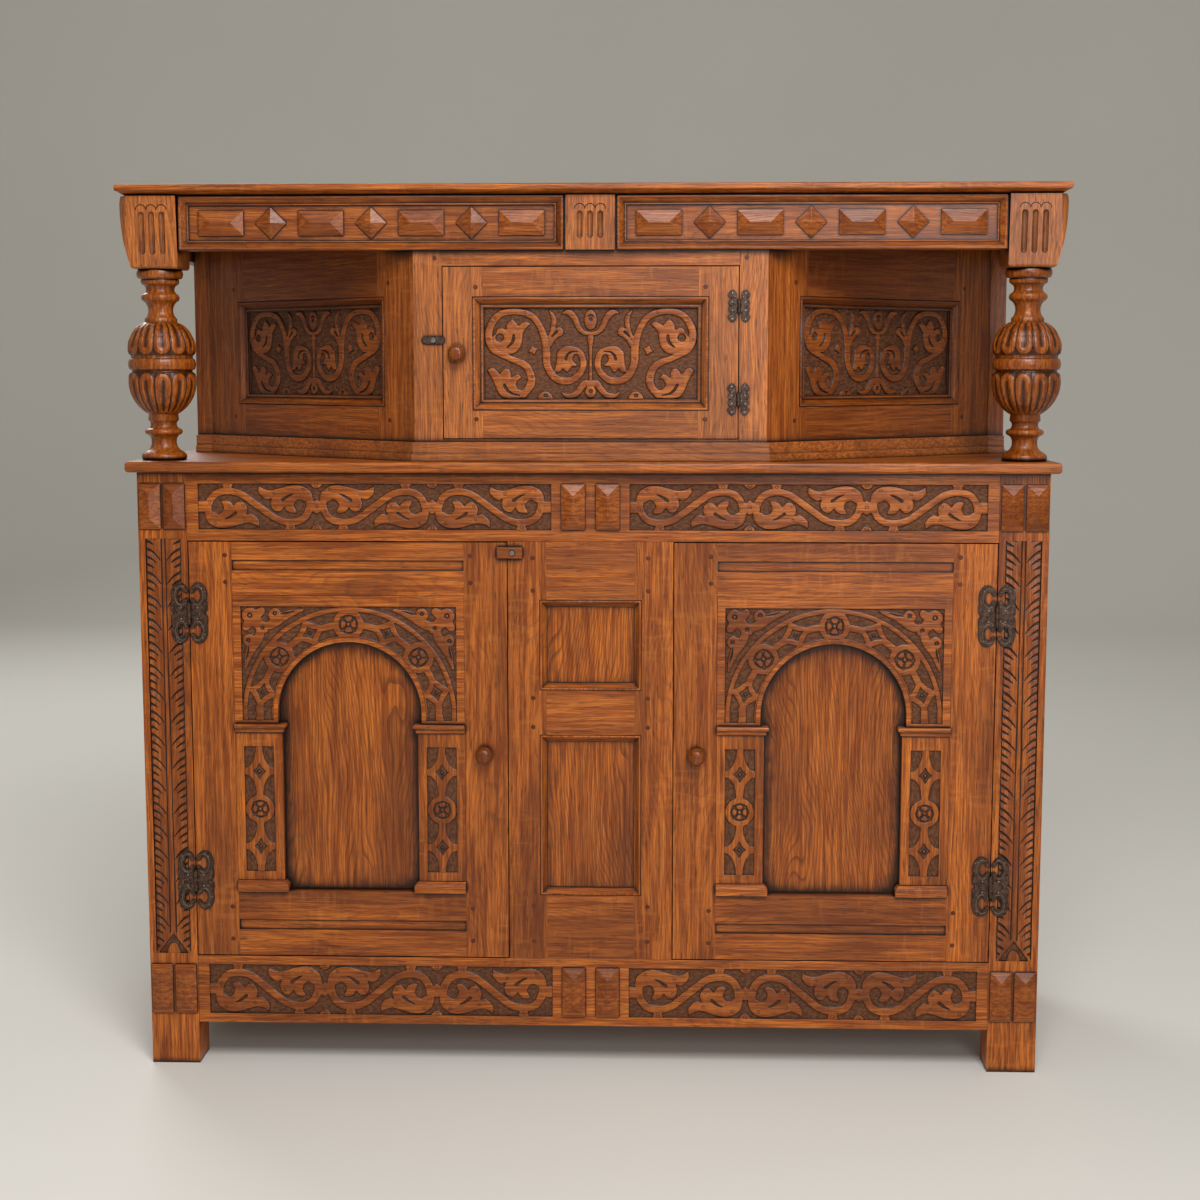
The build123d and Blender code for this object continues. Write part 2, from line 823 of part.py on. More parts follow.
upper_face = face_plane(upper_front)
upper_y = (upper_front, upper_front + upper_frame_thickness)
upper_stile_inner = upper_half - upper_stile_width
upper_opening_x = (-upper_stile_inner, upper_stile_inner)
upper_opening_z = (mid_top + upper_sill_height, frieze_bottom - upper_rail_height)
upper_rail_levels = ((mid_top, upper_opening_z[0]), (upper_opening_z[1], frieze_bottom))
upper_peg_points = peg_points(upper_opening_x, rail_levels(upper_rail_levels[1]))
latch_pivot = (-upper_stile_inner - latch_pivot_inset, upper_door_bottom + latch_rise)

with BuildPart() as upper_stiles:
    for side in (-1, 1):
        slab((side * upper_stile_inner, side * upper_half), upper_y, (mid_top, frieze_bottom))
    for z in upper_rail_levels:
        slab(
            (-upper_half + short_tenon, upper_half - short_tenon),
            (upper_y[0] + upper_frame_thickness / 3, upper_y[1] - upper_frame_thickness / 3),
            (z[0] + short_tenon_shoulder, z[1] - short_tenon_shoulder),
            Mode.SUBTRACT,
        )
    peg_cut(upper_peg_points, upper_front)
    bore([latch_pivot], upper_front, screw_radius + screw_fit, screw_length)
    nail_cut(upper_hinges, 1, cock_nails)
save(upper_stiles, "upper_stiles")

with BuildPart() as upper_rails:
    for z in upper_rail_levels:
        slab(upper_opening_x, upper_y, z)
        slab(
            (-upper_half + short_tenon + tenon_fit, upper_half - short_tenon - tenon_fit),
            (upper_y[0] + upper_frame_thickness / 3, upper_y[1] - upper_frame_thickness / 3),
            (z[0] + short_tenon_shoulder, z[1] - short_tenon_shoulder),
        )
    peg_cut(upper_peg_points, upper_front)
save(upper_rails, "upper_rails")

# The canted frames run back from the corners of the middle section to the side returns.
cant_rise = radians(cant_angle)
cant_x = (cos(cant_rise), sin(cant_rise), 0)
cant_origin = (upper_half, upper_front, 0)
cant_plane = Plane(origin=cant_origin, x_dir=cant_x, z_dir=(0, 0, 1))
cant_face = Plane(origin=cant_origin, x_dir=cant_x, z_dir=(sin(cant_rise), -cos(cant_rise), 0))
cant_y = (0, upper_frame_thickness)
cant_slant = upper_frame_thickness * tan(cant_rise)
cant_opening_x = (cant_inner_stile_width, cant_length - cant_outer_stile_width)
cant_opening_z = (
    mid_top + cant_bottom_rail_height,
    mid_top + cant_bottom_rail_height + cant_opening_height,
)
cant_rail_levels = ((mid_top, cant_opening_z[0]), (cant_opening_z[1], upper_top))
cant_panel_y = (panel_recess, panel_recess + panel_thickness)
cant_peg_levels = (cant_opening_z[0] - cant_peg_drop, cant_opening_z[1] + cant_peg_drop)
cant_peg_points = peg_points(cant_opening_x, cant_peg_levels, moulding_width)


def upright(outline, z):
    """A board standing between the levels z, with the given outline in the cant's own plan."""
    with BuildSketch(cant_plane.offset(z[0])) as plan:
        with BuildLine():
            Polyline(*outline, close=True)
        make_face()
    extrude(plan.sketch, amount=z[1] - z[0])


def frieze_notch():
    """The notch by which a canted frame's head passes behind the frieze."""
    with BuildSketch(Plane.XY.offset(frieze_bottom)) as notch:
        with Locations((block_inner_half / 2, upper_front + frieze_thickness / 2)):
            Rectangle(block_inner_half, frieze_thickness)
    extrude(notch.sketch, amount=frieze_height, mode=Mode.SUBTRACT)


with BuildPart(cant_plane) as canted_stiles:
    upright(
        [(0, 0), (cant_opening_x[0], 0), (cant_opening_x[0], cant_y[1]), (cant_slant, cant_y[1])],
        (mid_top, upper_top),
    )
    upright(
        [
            (cant_opening_x[1], 0),
            (cant_length, 0),
            (cant_length + cant_slant, cant_y[1]),
            (cant_opening_x[1], cant_y[1]),
        ],
        (mid_top, upper_top),
    )
    for z in cant_rail_levels:
        tenon_bar(cant_opening_x, cant_y, z, tenon_fit, Mode.SUBTRACT)
    groove_cut(cant_opening_x, cant_panel_y, cant_opening_z)
    wide_moulding(cant_face, cant_opening_x, cant_opening_z)
    peg_cut(cant_peg_points, 0)
    frieze_notch()
    mirror(about=Plane.YZ)
save(canted_stiles, "canted_stiles")

with BuildPart(cant_plane) as canted_rails:
    for z in cant_rail_levels:
        slab(cant_opening_x, cant_y, z)
        tenon_bar(cant_opening_x, cant_y, z)
    groove_cut(cant_opening_x, cant_panel_y, cant_opening_z)
    wide_moulding(cant_face, cant_opening_x, cant_opening_z)
    peg_cut(cant_peg_points, 0)
    frieze_notch()
    mirror(about=Plane.YZ)
save(canted_rails, "canted_rails")

with BuildPart(cant_plane) as canted_panels:
    panel_in_grooves(cant_opening_x, cant_panel_y, cant_opening_z)
    slab(
        (cant_opening_x[0] + panel_border, cant_opening_x[1] - panel_border),
        (cant_panel_y[0], cant_panel_y[0] + carving_depth),
        (cant_opening_z[0] + panel_border, cant_opening_z[1] - panel_border),
        Mode.SUBTRACT,
    )
    mirror(about=Plane.YZ)
save(canted_panels, "canted_panels")

return_outer = cant_outer_half + return_thickness
with BuildPart() as side_returns:
    for side in (-1, 1):
        slab((side * cant_outer_half, side * return_outer), (cant_back, back), (mid_top, upper_top))
save(side_returns, "side_returns")


def plinth_run(projection, z):
    """One layer of the plinth round the foot of the upper storey, proud of it by projection."""
    mitre = projection * tan(cant_rise / 2)
    end = projection * tan(cant_rise)
    with BuildSketch(Plane.XY.offset(z[0])) as front_run:
        with BuildLine():
            Polyline(
                (-upper_half, upper_front),
                (upper_half, upper_front),
                (upper_half + mitre, upper_front - projection),
                (-upper_half - mitre, upper_front - projection),
                close=True,
            )
        make_face()
    extrude(front_run.sketch, amount=z[1] - z[0])
    with BuildSketch(cant_plane.offset(z[0])) as canted_run:
        with BuildLine():
            Polyline(
                (0, 0),
                (cant_length, 0),
                (cant_length - end, -projection),
                (-mitre, -projection),
                close=True,
            )
        make_face()
    extrude(canted_run.sketch, amount=z[1] - z[0])
    nose = cant_back - projection / cos(cant_rise)
    slab((cant_outer_half, return_outer), (nose, cant_back), z)


with BuildPart() as plinth_half:
    plinth_run(plinth_projection, (mid_top, mid_top + plinth_step))
    plinth_run(plinth_upper_projection, (mid_top + plinth_step, mid_top + plinth_height))
with BuildPart() as upper_plinth:
    add(plinth_half.part)
    mirror(about=Plane.YZ)
save(upper_plinth, "upper_plinth")

# ---------------------------------------------------------------- frieze and blocks

frieze_z = (frieze_bottom, upper_top)
frieze_y = (upper_front, upper_front + frieze_thickness)
frieze_field_x = (
    centre_block_width / 2 + frieze_moulding_gap,
    block_inner_half - frieze_moulding_gap,
)
side_frieze_x = (return_outer, return_outer + side_frieze_thickness)
block_y = (column_y - block_width / 2, column_y + block_width / 2)
side_field_y = (block_y[1] + frieze_moulding_gap, back - frieze_moulding_gap)

with BuildPart() as frieze_boards:
    slab((-block_inner_half, block_inner_half), frieze_y, frieze_z)
    for side in (-1, 1):
        slab((side * side_frieze_x[0], side * side_frieze_x[1]), (block_y[1], back), frieze_z)
save(frieze_boards, "frieze_boards")


def moulding_frame(plane, centre, length, height):
    """An applied, mitred moulding frame: a high outer bead, a slope and a low inner fillet."""
    rim = 2 * (frieze_moulding_width - frieze_moulding_bead)
    opening = (length - 2 * frieze_moulding_width, height - 2 * frieze_moulding_width)
    with BuildSketch(plane) as frame:
        with Locations(centre):
            Rectangle(length, height)
            Rectangle(*opening, mode=Mode.SUBTRACT)
    extrude(frame.sketch, amount=frieze_moulding_height)
    frustum(
        plane.offset(frieze_moulding_height),
        centre,
        (opening[0] + rim, opening[1] + rim),
        (opening[0] + 2 * frieze_moulding_fillet, opening[1] + 2 * frieze_moulding_fillet),
        frieze_moulding_drop,
        Mode.SUBTRACT,
    )


field_middle = sum(frieze_field_x) / 2
field_length = frieze_field_x[1] - frieze_field_x[0]
frieze_middle = sum(frieze_z) / 2
with BuildPart() as frieze_mouldings:
    for side in (-1, 1):
        moulding_frame(upper_face, (side * field_middle, frieze_middle), field_length, frieze_height)
        side_face = Plane(
            origin=(side * side_frieze_x[1], 0, 0), x_dir=(0, side, 0), z_dir=(side, 0, 0)
        )
        moulding_frame(
            side_face,
            (side * sum(side_field_y) / 2, frieze_middle),
            side_field_y[1] - side_field_y[0],
            frieze_height,
        )
save(frieze_mouldings, "frieze_mouldings")

boss_pitch = (field_length - 2 * frieze_boss_margin - frieze_boss_length) / 3
with BuildPart() as frieze_bosses:
    for side in (-1, 1):
        for step in range(4):
            x = side * field_middle + (step - 1.5) * boss_pitch
            boss(upper_face, (x, frieze_middle), frieze_boss_length, frieze_boss_height)
        for step in range(3):
            x = side * field_middle + (step - 1) * boss_pitch
            diamond_boss(upper_face, (x, frieze_middle), frieze_diamond)
save(frieze_bosses, "frieze_bosses")


def fluting(plane, height, flute):
    """Three flutes under three incised scallops; the plane's origin is the foot of its face."""
    middle = height - flute_top_margin - flute.bounding_box().size.Y / 2
    for step in (-1, 0, 1):
        point = (step * flute_pitch, middle, flute_radius - flute_depth)
        with Locations(plane.location * Location(point)):
            add(flute, mode=Mode.SUBTRACT)
    points = [(step * flute_pitch, height - scallop_drop) for step in (-1, 0, 1)]
    with BuildSketch(plane) as scallops:
        with Locations(*points):
            Circle((flute_pitch + scallop_line) / 2)
        with Locations(*points):
            Circle((flute_pitch - scallop_line) / 2, mode=Mode.SUBTRACT)
        with Locations((0, height - scallop_drop - flute_pitch / 2)):
            Rectangle(4 * flute_pitch, flute_pitch, mode=Mode.SUBTRACT)
    extrude(scallops.sketch, amount=-scallop_line, mode=Mode.SUBTRACT)


block_height = upper_top - block_bottom
flutes = []
for flute_length in (
    block_height - flute_top_margin - block_flute_bottom_margin,
    frieze_height - flute_top_margin - flute_bottom_margin,
):
    with BuildPart() as rod:
        with BuildSketch(Plane.YZ) as half_rod:
            SlotOverall(flute_length, 2 * flute_radius)
            with Locations((0, -flute_radius)):
                Rectangle(flute_length, 2 * flute_radius, mode=Mode.SUBTRACT)
        revolve(half_rod.sketch, axis=Axis.Y)
    flutes.append(rod.part)
block_lean = atan2(block_front_bulge, block_height)
with BuildPart() as frieze_blocks:
    with BuildSketch(face_plane(block_y[0] - block_front_bulge)):
        with BuildLine():
            foot = (block_outer_half - block_foot_inset, block_bottom)
            widest = (block_outer_half + block_bulge, upper_top - block_bulge_drop)
            shoulder = (block_outer_half + block_bulge - block_foot_inset, upper_top)
            Line((block_inner_half, block_bottom), foot)
            Spline(foot, widest, tangents=[(block_bulge / 2, block_height / 4), (0, 1)])
            RadiusArc(widest, shoulder, -2 * block_bulge_drop)
            Line(shoulder, (block_inner_half, upper_top))
            Line((block_inner_half, upper_top), (block_inner_half, block_bottom))
        make_face()
    extrude(amount=-(block_width + block_front_bulge))
    with BuildSketch(Plane.YZ.offset(block_inner_half)):
        with BuildLine():
            Polyline(
                (block_y[0] - block_front_bulge, upper_top),
                (block_y[0] - block_front_bulge, block_bottom),
                (block_y[0], block_bottom),
                close=True,
            )
        make_face()
    extrude(amount=block_width + 2 * block_bulge, mode=Mode.SUBTRACT)
    corner = (block_outer_half + block_bulge, block_y[0] - block_front_bulge)
    with BuildSketch(Plane.XY.offset(block_bottom)):
        with BuildLine():
            Polyline(
                (corner[0] - 2 * block_chamfer, corner[1] - block_chamfer),
                (corner[0] + block_chamfer, corner[1] - block_chamfer),
                (corner[0] + block_chamfer, corner[1] + 2 * block_chamfer),
                close=True,
            )
        make_face()
    extrude(amount=block_height, mode=Mode.SUBTRACT)
    fillet(frieze_blocks.edges().group_by(Axis.Z)[0], block_corner_round)
    leaning_face = Plane(
        origin=(block_middle, block_y[0], block_bottom),
        x_dir=(1, 0, 0),
        z_dir=(0, -cos(block_lean), -sin(block_lean)),
    )
    fluting(leaning_face, block_height, flutes[0])
    with Locations((block_middle, column_y, block_bottom + dowel_length / 2)):
        Cylinder(dowel_radius + shank_fit, dowel_length, mode=Mode.SUBTRACT)
    mirror(about=Plane.YZ)
    slab(
        (-centre_block_width / 2, centre_block_width / 2),
        (upper_front - centre_block_depth, upper_front),
        frieze_z,
    )
    centre_block_face = Plane(
        origin=(0, upper_front - centre_block_depth, frieze_bottom),
        x_dir=(1, 0, 0),
        z_dir=(0, -1, 0),
    )
    fluting(centre_block_face, frieze_height, flutes[1])
save(frieze_blocks, "frieze_blocks")

# ---------------------------------------------------------------- columns

# The turning's mouldings from the foot up: the radius and height where each ends and, where it
# is round, a point half way along it. They are drawn for a column of turning_height.
turning_outline = (
    ((31.5, 0.0), None),
    ((31.0, 10.0), (33.3, 5.0)),
    ((27.0, 13.0), None),
    ((18.4, 28.0), (20.0, 19.5)),
    ((25.0, 38.0), (20.0, 34.0)),
    ((25.0, 46.0), (27.6, 42.0)),
    ((22.0, 47.0), None),
    ((22.5, 59.0), (19.0, 53.5)),
    ((21.7, 68.0), None),
    ((column_radius, 112.0), (41.5, 86.5)),
    ((47.8, 129.0), (49.7, 121.0)),
    ((44.2, 130.0), None),
    ((44.2, 133.0), None),
    ((47.5, 134.0), None),
    ((47.5, 149.0), (49.4, 141.5)),
    ((45.0, 150.0), None),
    ((45.0, 154.0), None),
    ((47.8, 155.0), None),
    ((45.3, 183.0), (column_radius, 168.0)),
    ((23.8, 203.0), (37.5, 195.0)),
    ((23.8, 208.0), None),
    ((23.5, 233.0), (18.0, 220.5)),
    ((23.5, 245.0), (27.8, 239.0)),
    ((23.5, 257.0), (20.6, 251.0)),
    ((27.0, 266.0), (27.8, 261.5)),
    ((31.5, 267.0), None),
    ((31.5, turning_height), (33.8, 273.0)),
    ((0.0, turning_height), None),
)
turning_stretch = column_height / turning_height
with BuildPart() as turning:
    with BuildSketch(Plane.XZ):
        with BuildLine():
            start = (0, 0)
            for end, middle in turning_outline:
                end = (end[0], end[1] * turning_stretch)
                if middle is None:
                    Line(start, end)
                else:
                    ThreePointArc(start, (middle[0], middle[1] * turning_stretch), end)
                start = end
            Line(start, (0, 0))
        make_face()
    revolve(axis=Axis.Z)
    with Locations((0, 0, column_height / 2)):
        Cylinder(dowel_radius, column_height + 2 * (dowel_length - panel_float))
with BuildPart() as columns:
    with Locations(*[(x, y, mid_top) for x, y in dowel_points]):
        add(turning.part)
save(columns, "columns")

# ---------------------------------------------------------------- arcaded doors

door_y = (front, front + door_thickness)
door_z = (door_bottom, door_top)
door_opening_x = (door_inner + door_stile_width, door_outer - door_stile_width)
door_opening_z = (door_bottom + door_bottom_rail_height, door_top - door_top_rail_height)
door_rail_levels = ((door_bottom, door_opening_z[0]), (door_opening_z[1], door_top))
door_groove_levels = (
    (door_bottom + door_groove_rise, door_bottom + door_groove_rise + door_groove_height),
    (door_top - door_groove_drop - door_groove_height, door_top - door_groove_drop),
)
door_panel_y = (front + arch_board_thickness, front + arch_board_thickness + door_panel_thickness)
door_knob_point = (door_inner + door_knob_inset, door_top - door_knob_drop)
door_peg_points = [
    point for z in door_rail_levels for point in peg_points(door_opening_x, rail_levels(z))
]
archivolt_radius = (door_opening_x[1] - door_opening_x[0]) / 2 - arch_border
arch_centre = (door_middle, door_opening_z[1] - arch_top_border - archivolt_radius)
arch_foot = arch_centre[1] - arch_rise
arch_face = face_plane(front - arch_proud)
arcade_y = (front - arch_proud, door_panel_y[0])
door_mirror = Plane.YZ.offset(door_middle)

with BuildPart() as door_stiles:
    slab((door_inner, door_opening_x[0]), door_y, door_z)
    slab((door_opening_x[1], door_outer), door_y, door_z)
    for z in door_rail_levels:
        tenon_bar(door_opening_x, door_y, z, tenon_fit, Mode.SUBTRACT)
    groove_cut(door_opening_x, door_panel_y, door_opening_z)
    peg_cut(door_peg_points, front)
    nail_cut(lower_hinges, -1, scroll_nails)
    bore([door_knob_point], front, knob_shank_radius + shank_fit, knob_shank_length + panel_float)
save_pair(door_stiles, "door_stiles")

with BuildPart() as door_rails:
    for z in door_rail_levels:
        slab(door_opening_x, door_y, z)
        tenon_bar(door_opening_x, door_y, z)
    for z in door_groove_levels:
        slab(door_opening_x, (front, front + door_groove_depth), z, Mode.SUBTRACT)
    groove_cut(door_opening_x, door_panel_y, door_opening_z)
    peg_cut(door_peg_points, front)
save_pair(door_rails, "door_rails")

with BuildPart() as door_panel:
    panel_in_grooves(door_opening_x, door_panel_y, door_opening_z)
save_pair(door_panel, "door_panel")


def arch_outline(half_width, z, radius):
    """A rectangle on the door's middle with the arch's opening, of the given radius, cut out."""
    with Locations((door_middle, (z[0] + z[1]) / 2)):
        Rectangle(2 * half_width, z[1] - z[0])
    with Locations(arch_centre):
        Circle(radius, mode=Mode.SUBTRACT)
    with Locations((door_middle, (arch_foot + arch_centre[1]) / 2)):
        Rectangle(2 * radius, arch_rise, mode=Mode.SUBTRACT)


with BuildPart() as door_arch:
    with BuildSketch(arch_face) as board:
        arch_outline(archivolt_radius + arch_border, (arch_foot, door_opening_z[1]), arch_radius)
    extrude(board.sketch, amount=arcade_y[0] - arcade_y[1])
    carved_z = (arch_foot + arch_foot_border, door_opening_z[1] - arch_top_border)
    with BuildSketch(arch_face) as carving:
        arch_outline(archivolt_radius, carved_z, arch_radius + archivolt_band)
    extrude(carving.sketch, amount=-door_carving_depth, mode=Mode.SUBTRACT)
save_pair(door_arch, "door_arch")

pilaster_x = (door_opening_x[0], door_opening_x[0] + pilaster_width)
base_z = (door_opening_z[0], door_opening_z[0] + base_height)
capital_z = (arch_foot - capital_height, arch_foot)
with BuildPart() as door_pilasters:
    slab(pilaster_x, arcade_y, (base_z[1], capital_z[0]))
    slab(
        (pilaster_x[0] + pilaster_border_side, pilaster_x[1] - pilaster_border_side),
        (arcade_y[0], arcade_y[0] + door_carving_depth),
        (base_z[1] + pilaster_border_bottom, capital_z[0] - pilaster_border_top),
        Mode.SUBTRACT,
    )
    mirror(about=door_mirror)
save_pair(door_pilasters, "door_pilasters")


def order_block(z, projection):
    """A block across a pilaster, projecting in front of it and on the side of the arch."""
    slab((pilaster_x[0], pilaster_x[1] + projection), (arcade_y[0] - projection, arcade_y[1]), z)


def order_arrises(solid, projection):
    """The level arrises round the two projecting sides of such a block."""
    return nose_edges(solid, [pilaster_x[1] + projection], arcade_y[0] - projection)


with BuildPart() as capital_roll:
    order_block((capital_z[0] + necking_height, capital_z[1]), capital_projection)
    fillet(order_arrises(capital_roll.part, capital_projection), capital_round)
with BuildPart() as pilaster_base:
    order_block(base_z, capital_projection)
    top_arrises = order_arrises(pilaster_base.part, capital_projection).group_by(Axis.Z)[-1]
    chamfer(top_arrises, base_chamfer)
with BuildPart() as door_capitals:
    add(capital_roll.part)
    order_block((capital_z[0], capital_z[0] + necking_height), necking_projection)
    add(pilaster_base.part)
    mirror(about=door_mirror)
save_pair(door_capitals, "door_capitals")


def knob(point, face):
    """A turned knob at the x and z of point: shank, flange, short neck and flattened ball."""
    origin = (point[0], face, point[1])
    neck_top = knob_flange_height + knob_neck_height
    with BuildSketch(Plane(origin=origin, x_dir=(1, 0, 0), z_dir=(0, 0, -1))) as section:
        with BuildLine():
            Polyline(
                (0, -knob_shank_length),
                (knob_shank_radius, -knob_shank_length),
                (knob_shank_radius, 0),
                (knob_flange_radius, 0),
                (knob_flange_radius, knob_flange_height),
                (knob_neck_radius, knob_flange_height),
                (knob_neck_radius, neck_top),
            )
            Spline(
                (knob_neck_radius, neck_top),
                (knob_radius, (neck_top + knob_reach) / 2),
                (0, knob_reach),
                tangents=[(1, 0), (-1, 0)],
            )
            Line((0, knob_reach), (0, -knob_shank_length))
        make_face()
    revolve(section.sketch, axis=Axis(origin, (0, -1, 0)))


with BuildPart() as door_knob:
    knob(door_knob_point, front)
save_pair(door_knob, "door_knob")

with BuildPart() as door_pegs:
    pegs(door_peg_points, front)
save_pair(door_pegs, "door_pegs")

with BuildPart() as door_hinge_leaves:
    leaves(lower_hinges, -1, scroll_leaf, (barrel_radius, barrel_height), (0,))
save_pair(door_hinge_leaves, "door_hinge_leaves")

with BuildPart() as door_nails:
    nails(lower_hinges, -1, scroll_nails)
save_pair(door_nails, "door_nails")

# ---------------------------------------------------------------- upper door

upper_door_y = (upper_front, upper_front + upper_door_thickness)
upper_door_z = (upper_door_bottom, upper_door_top)
door_field_half = upper_door_half - upper_door_stile_width
door_field_x = (-door_field_half, door_field_half)
door_field_z = (
    upper_door_bottom + upper_door_bottom_rail_height,
    upper_door_top - upper_door_top_rail_height,
)
upper_door_levels = ((upper_door_bottom, door_field_z[0]), (door_field_z[1], upper_door_top))
upper_panel_y = (upper_front + panel_recess, upper_front + panel_recess + panel_thickness)
upper_knob_point = (-upper_door_half + upper_knob_inset, upper_door_bottom + upper_knob_rise)
upper_door_pegs_at = [
    (x, sum(z) / 2)
    for z in upper_door_levels
    for x in (door_field_x[0] - peg_inset, door_field_x[1] + peg_inset)
]

with BuildPart() as upper_door_stiles:
    for side in (-1, 1):
        slab((side * door_field_half, side * upper_door_half), upper_door_y, upper_door_z)
    for z in upper_door_levels:
        tenon_bar(door_field_x, upper_door_y, z, tenon_fit, Mode.SUBTRACT)
    groove_cut(door_field_x, upper_panel_y, door_field_z)
    wide_moulding(upper_face, door_field_x, door_field_z)
    peg_cut(upper_door_pegs_at, upper_front)
    nail_cut(upper_hinges, -1, cock_nails)
    bore([upper_knob_point], upper_front, knob_shank_radius + shank_fit, knob_shank_length + panel_float)
save(upper_door_stiles, "upper_door_stiles")

with BuildPart() as upper_door_rails:
    for z in upper_door_levels:
        slab(door_field_x, upper_door_y, z)
        tenon_bar(door_field_x, upper_door_y, z)
    groove_cut(door_field_x, upper_panel_y, door_field_z)
    wide_moulding(upper_face, door_field_x, door_field_z)
    peg_cut(upper_door_pegs_at, upper_front)
save(upper_door_rails, "upper_door_rails")

with BuildPart() as upper_door_panel:
    panel_in_grooves(door_field_x, upper_panel_y, door_field_z)
    slab(
        (door_field_x[0] + panel_border, door_field_x[1] - panel_border),
        (upper_panel_y[0], upper_panel_y[0] + carving_depth),
        (door_field_z[0] + panel_border, door_field_z[1] - panel_border),
        Mode.SUBTRACT,
    )
save(upper_door_panel, "upper_door_panel")

with BuildPart() as upper_door_knob:
    knob(upper_knob_point, upper_front)
save(upper_door_knob, "upper_door_knob")

with BuildPart() as upper_door_pegs:
    pegs(upper_door_pegs_at, upper_front)
save(upper_door_pegs, "upper_door_pegs")

with BuildPart() as upper_door_hinge_leaves:
    leaves(upper_hinges, -1, cock_leaf, (cock_barrel_radius, cock_barrel_height), (0,))
save(upper_door_hinge_leaves, "upper_door_hinge_leaves")

with BuildPart() as upper_door_nails:
    nails(upper_hinges, -1, cock_nails)
save(upper_door_nails, "upper_door_nails")

# ---------------------------------------------------------------- fixed ironwork and pegs

with BuildPart() as hinge_frame_leaves:
    leaves(lower_hinges, 1, scroll_leaf, (barrel_radius, barrel_height), (-1, 1))
    mirror(about=Plane.YZ)
    leaves(upper_hinges, 1, cock_leaf, (cock_barrel_radius, cock_barrel_height), (-1, 1))
save(hinge_frame_leaves, "hinge_frame_leaves")

with BuildPart() as hinge_pins:
    hinge_pins_at(lower_hinges, barrel_height)
    mirror(about=Plane.YZ)
    hinge_pins_at(upper_hinges, cock_barrel_height)
save(hinge_pins, "hinge_pins")

with BuildPart() as frame_nails:
    nails(lower_hinges, 1, scroll_nails)
    mirror(about=Plane.YZ)
    nails(upper_hinges, 1, cock_nails)
save(frame_nails, "frame_nails")

with BuildPart(cant_plane) as canted_pegs:
    pegs(cant_peg_points, 0)
    mirror(about=Plane.YZ)
with BuildPart() as frame_pegs:
    pegs(centre_peg_points, front)
    pegs(upper_peg_points, upper_front)
    add(canted_pegs.part)
save(frame_pegs, "frame_pegs")

# ---------------------------------------------------------------- turn buttons

latch_y = (upper_front - latch_gap - latch_thickness, upper_front - latch_gap)
with BuildPart() as iron_latch:
    with BuildSketch(face_plane(latch_y[1])) as bar:
        with Locations(latch_pivot):
            SlotOverall(latch_length, latch_height)
            Circle(screw_radius + pin_fit, mode=Mode.SUBTRACT)
    extrude(bar.sketch, amount=latch_thickness)
save(iron_latch, "iron_latch")

button_y = (front - latch_gap - button_thickness, front - latch_gap)
button_x = (button_pivot[0] - button_reach, button_pivot[0] - button_reach + button_length)
with BuildPart() as turn_button:
    slab(
        button_x,
        button_y,
        (button_pivot[1] - button_height / 2, button_pivot[1] + button_height / 2),
    )
    fillet(turn_button.faces().sort_by(Axis.Y)[0].edges(), button_round)
    bore([button_pivot], button_y[0], screw_radius + pin_fit, button_thickness)
save(turn_button, "turn_button")


def pivot_screw(point, face, thickness):
    """A round-headed screw on which a turn button of the given thickness swings."""
    head_y = face - thickness - 2 * latch_gap
    shank = face + screw_length - panel_float - head_y
    with Locations((point[0], head_y + shank / 2, point[1])):
        Cylinder(screw_radius, shank, rotation=(90, 0, 0))
    with Locations((point[0], head_y - screw_head_height / 2, point[1])):
        Cylinder(screw_head_radius, screw_head_height, rotation=(90, 0, 0))
    with Locations((point[0], head_y - screw_head_height, point[1])):
        Box(2 * screw_head_radius, 2 * screw_slot, screw_slot, mode=Mode.SUBTRACT)


with BuildPart() as button_screws:
    pivot_screw(latch_pivot, upper_front, latch_thickness)
    pivot_screw(button_pivot, front, button_thickness)
save(button_screws, "button_screws")
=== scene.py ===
from math import cos, pi, radians, sin

import bpy
import numpy as np
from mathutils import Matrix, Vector


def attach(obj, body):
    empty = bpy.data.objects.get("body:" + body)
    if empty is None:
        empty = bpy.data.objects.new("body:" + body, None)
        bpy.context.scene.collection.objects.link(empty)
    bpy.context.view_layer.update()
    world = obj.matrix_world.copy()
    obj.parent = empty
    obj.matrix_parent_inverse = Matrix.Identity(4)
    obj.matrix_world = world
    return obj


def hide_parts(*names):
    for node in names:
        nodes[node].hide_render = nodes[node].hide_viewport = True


# Carved oak court cupboard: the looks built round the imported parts. Places are in millimetres in
# the helpers below and are turned into metres where a mesh or a lamp is made.
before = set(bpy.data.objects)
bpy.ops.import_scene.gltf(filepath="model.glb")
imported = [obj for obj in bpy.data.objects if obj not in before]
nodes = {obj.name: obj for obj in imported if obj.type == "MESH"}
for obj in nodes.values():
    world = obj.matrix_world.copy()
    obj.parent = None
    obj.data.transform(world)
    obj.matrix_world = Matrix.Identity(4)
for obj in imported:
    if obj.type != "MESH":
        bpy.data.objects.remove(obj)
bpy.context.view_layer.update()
MM = 0.001
HANDS = ((-1, "left"), (1, "right"))
scene = bpy.context.scene

# ---- finishes


def srgb(red, green, blue):
    """A colour given as 0 to 255 screen values, as the linear values that a shader takes."""
    return tuple((part / 255) ** 2.2 for part in (red, green, blue)) + (1.0,)


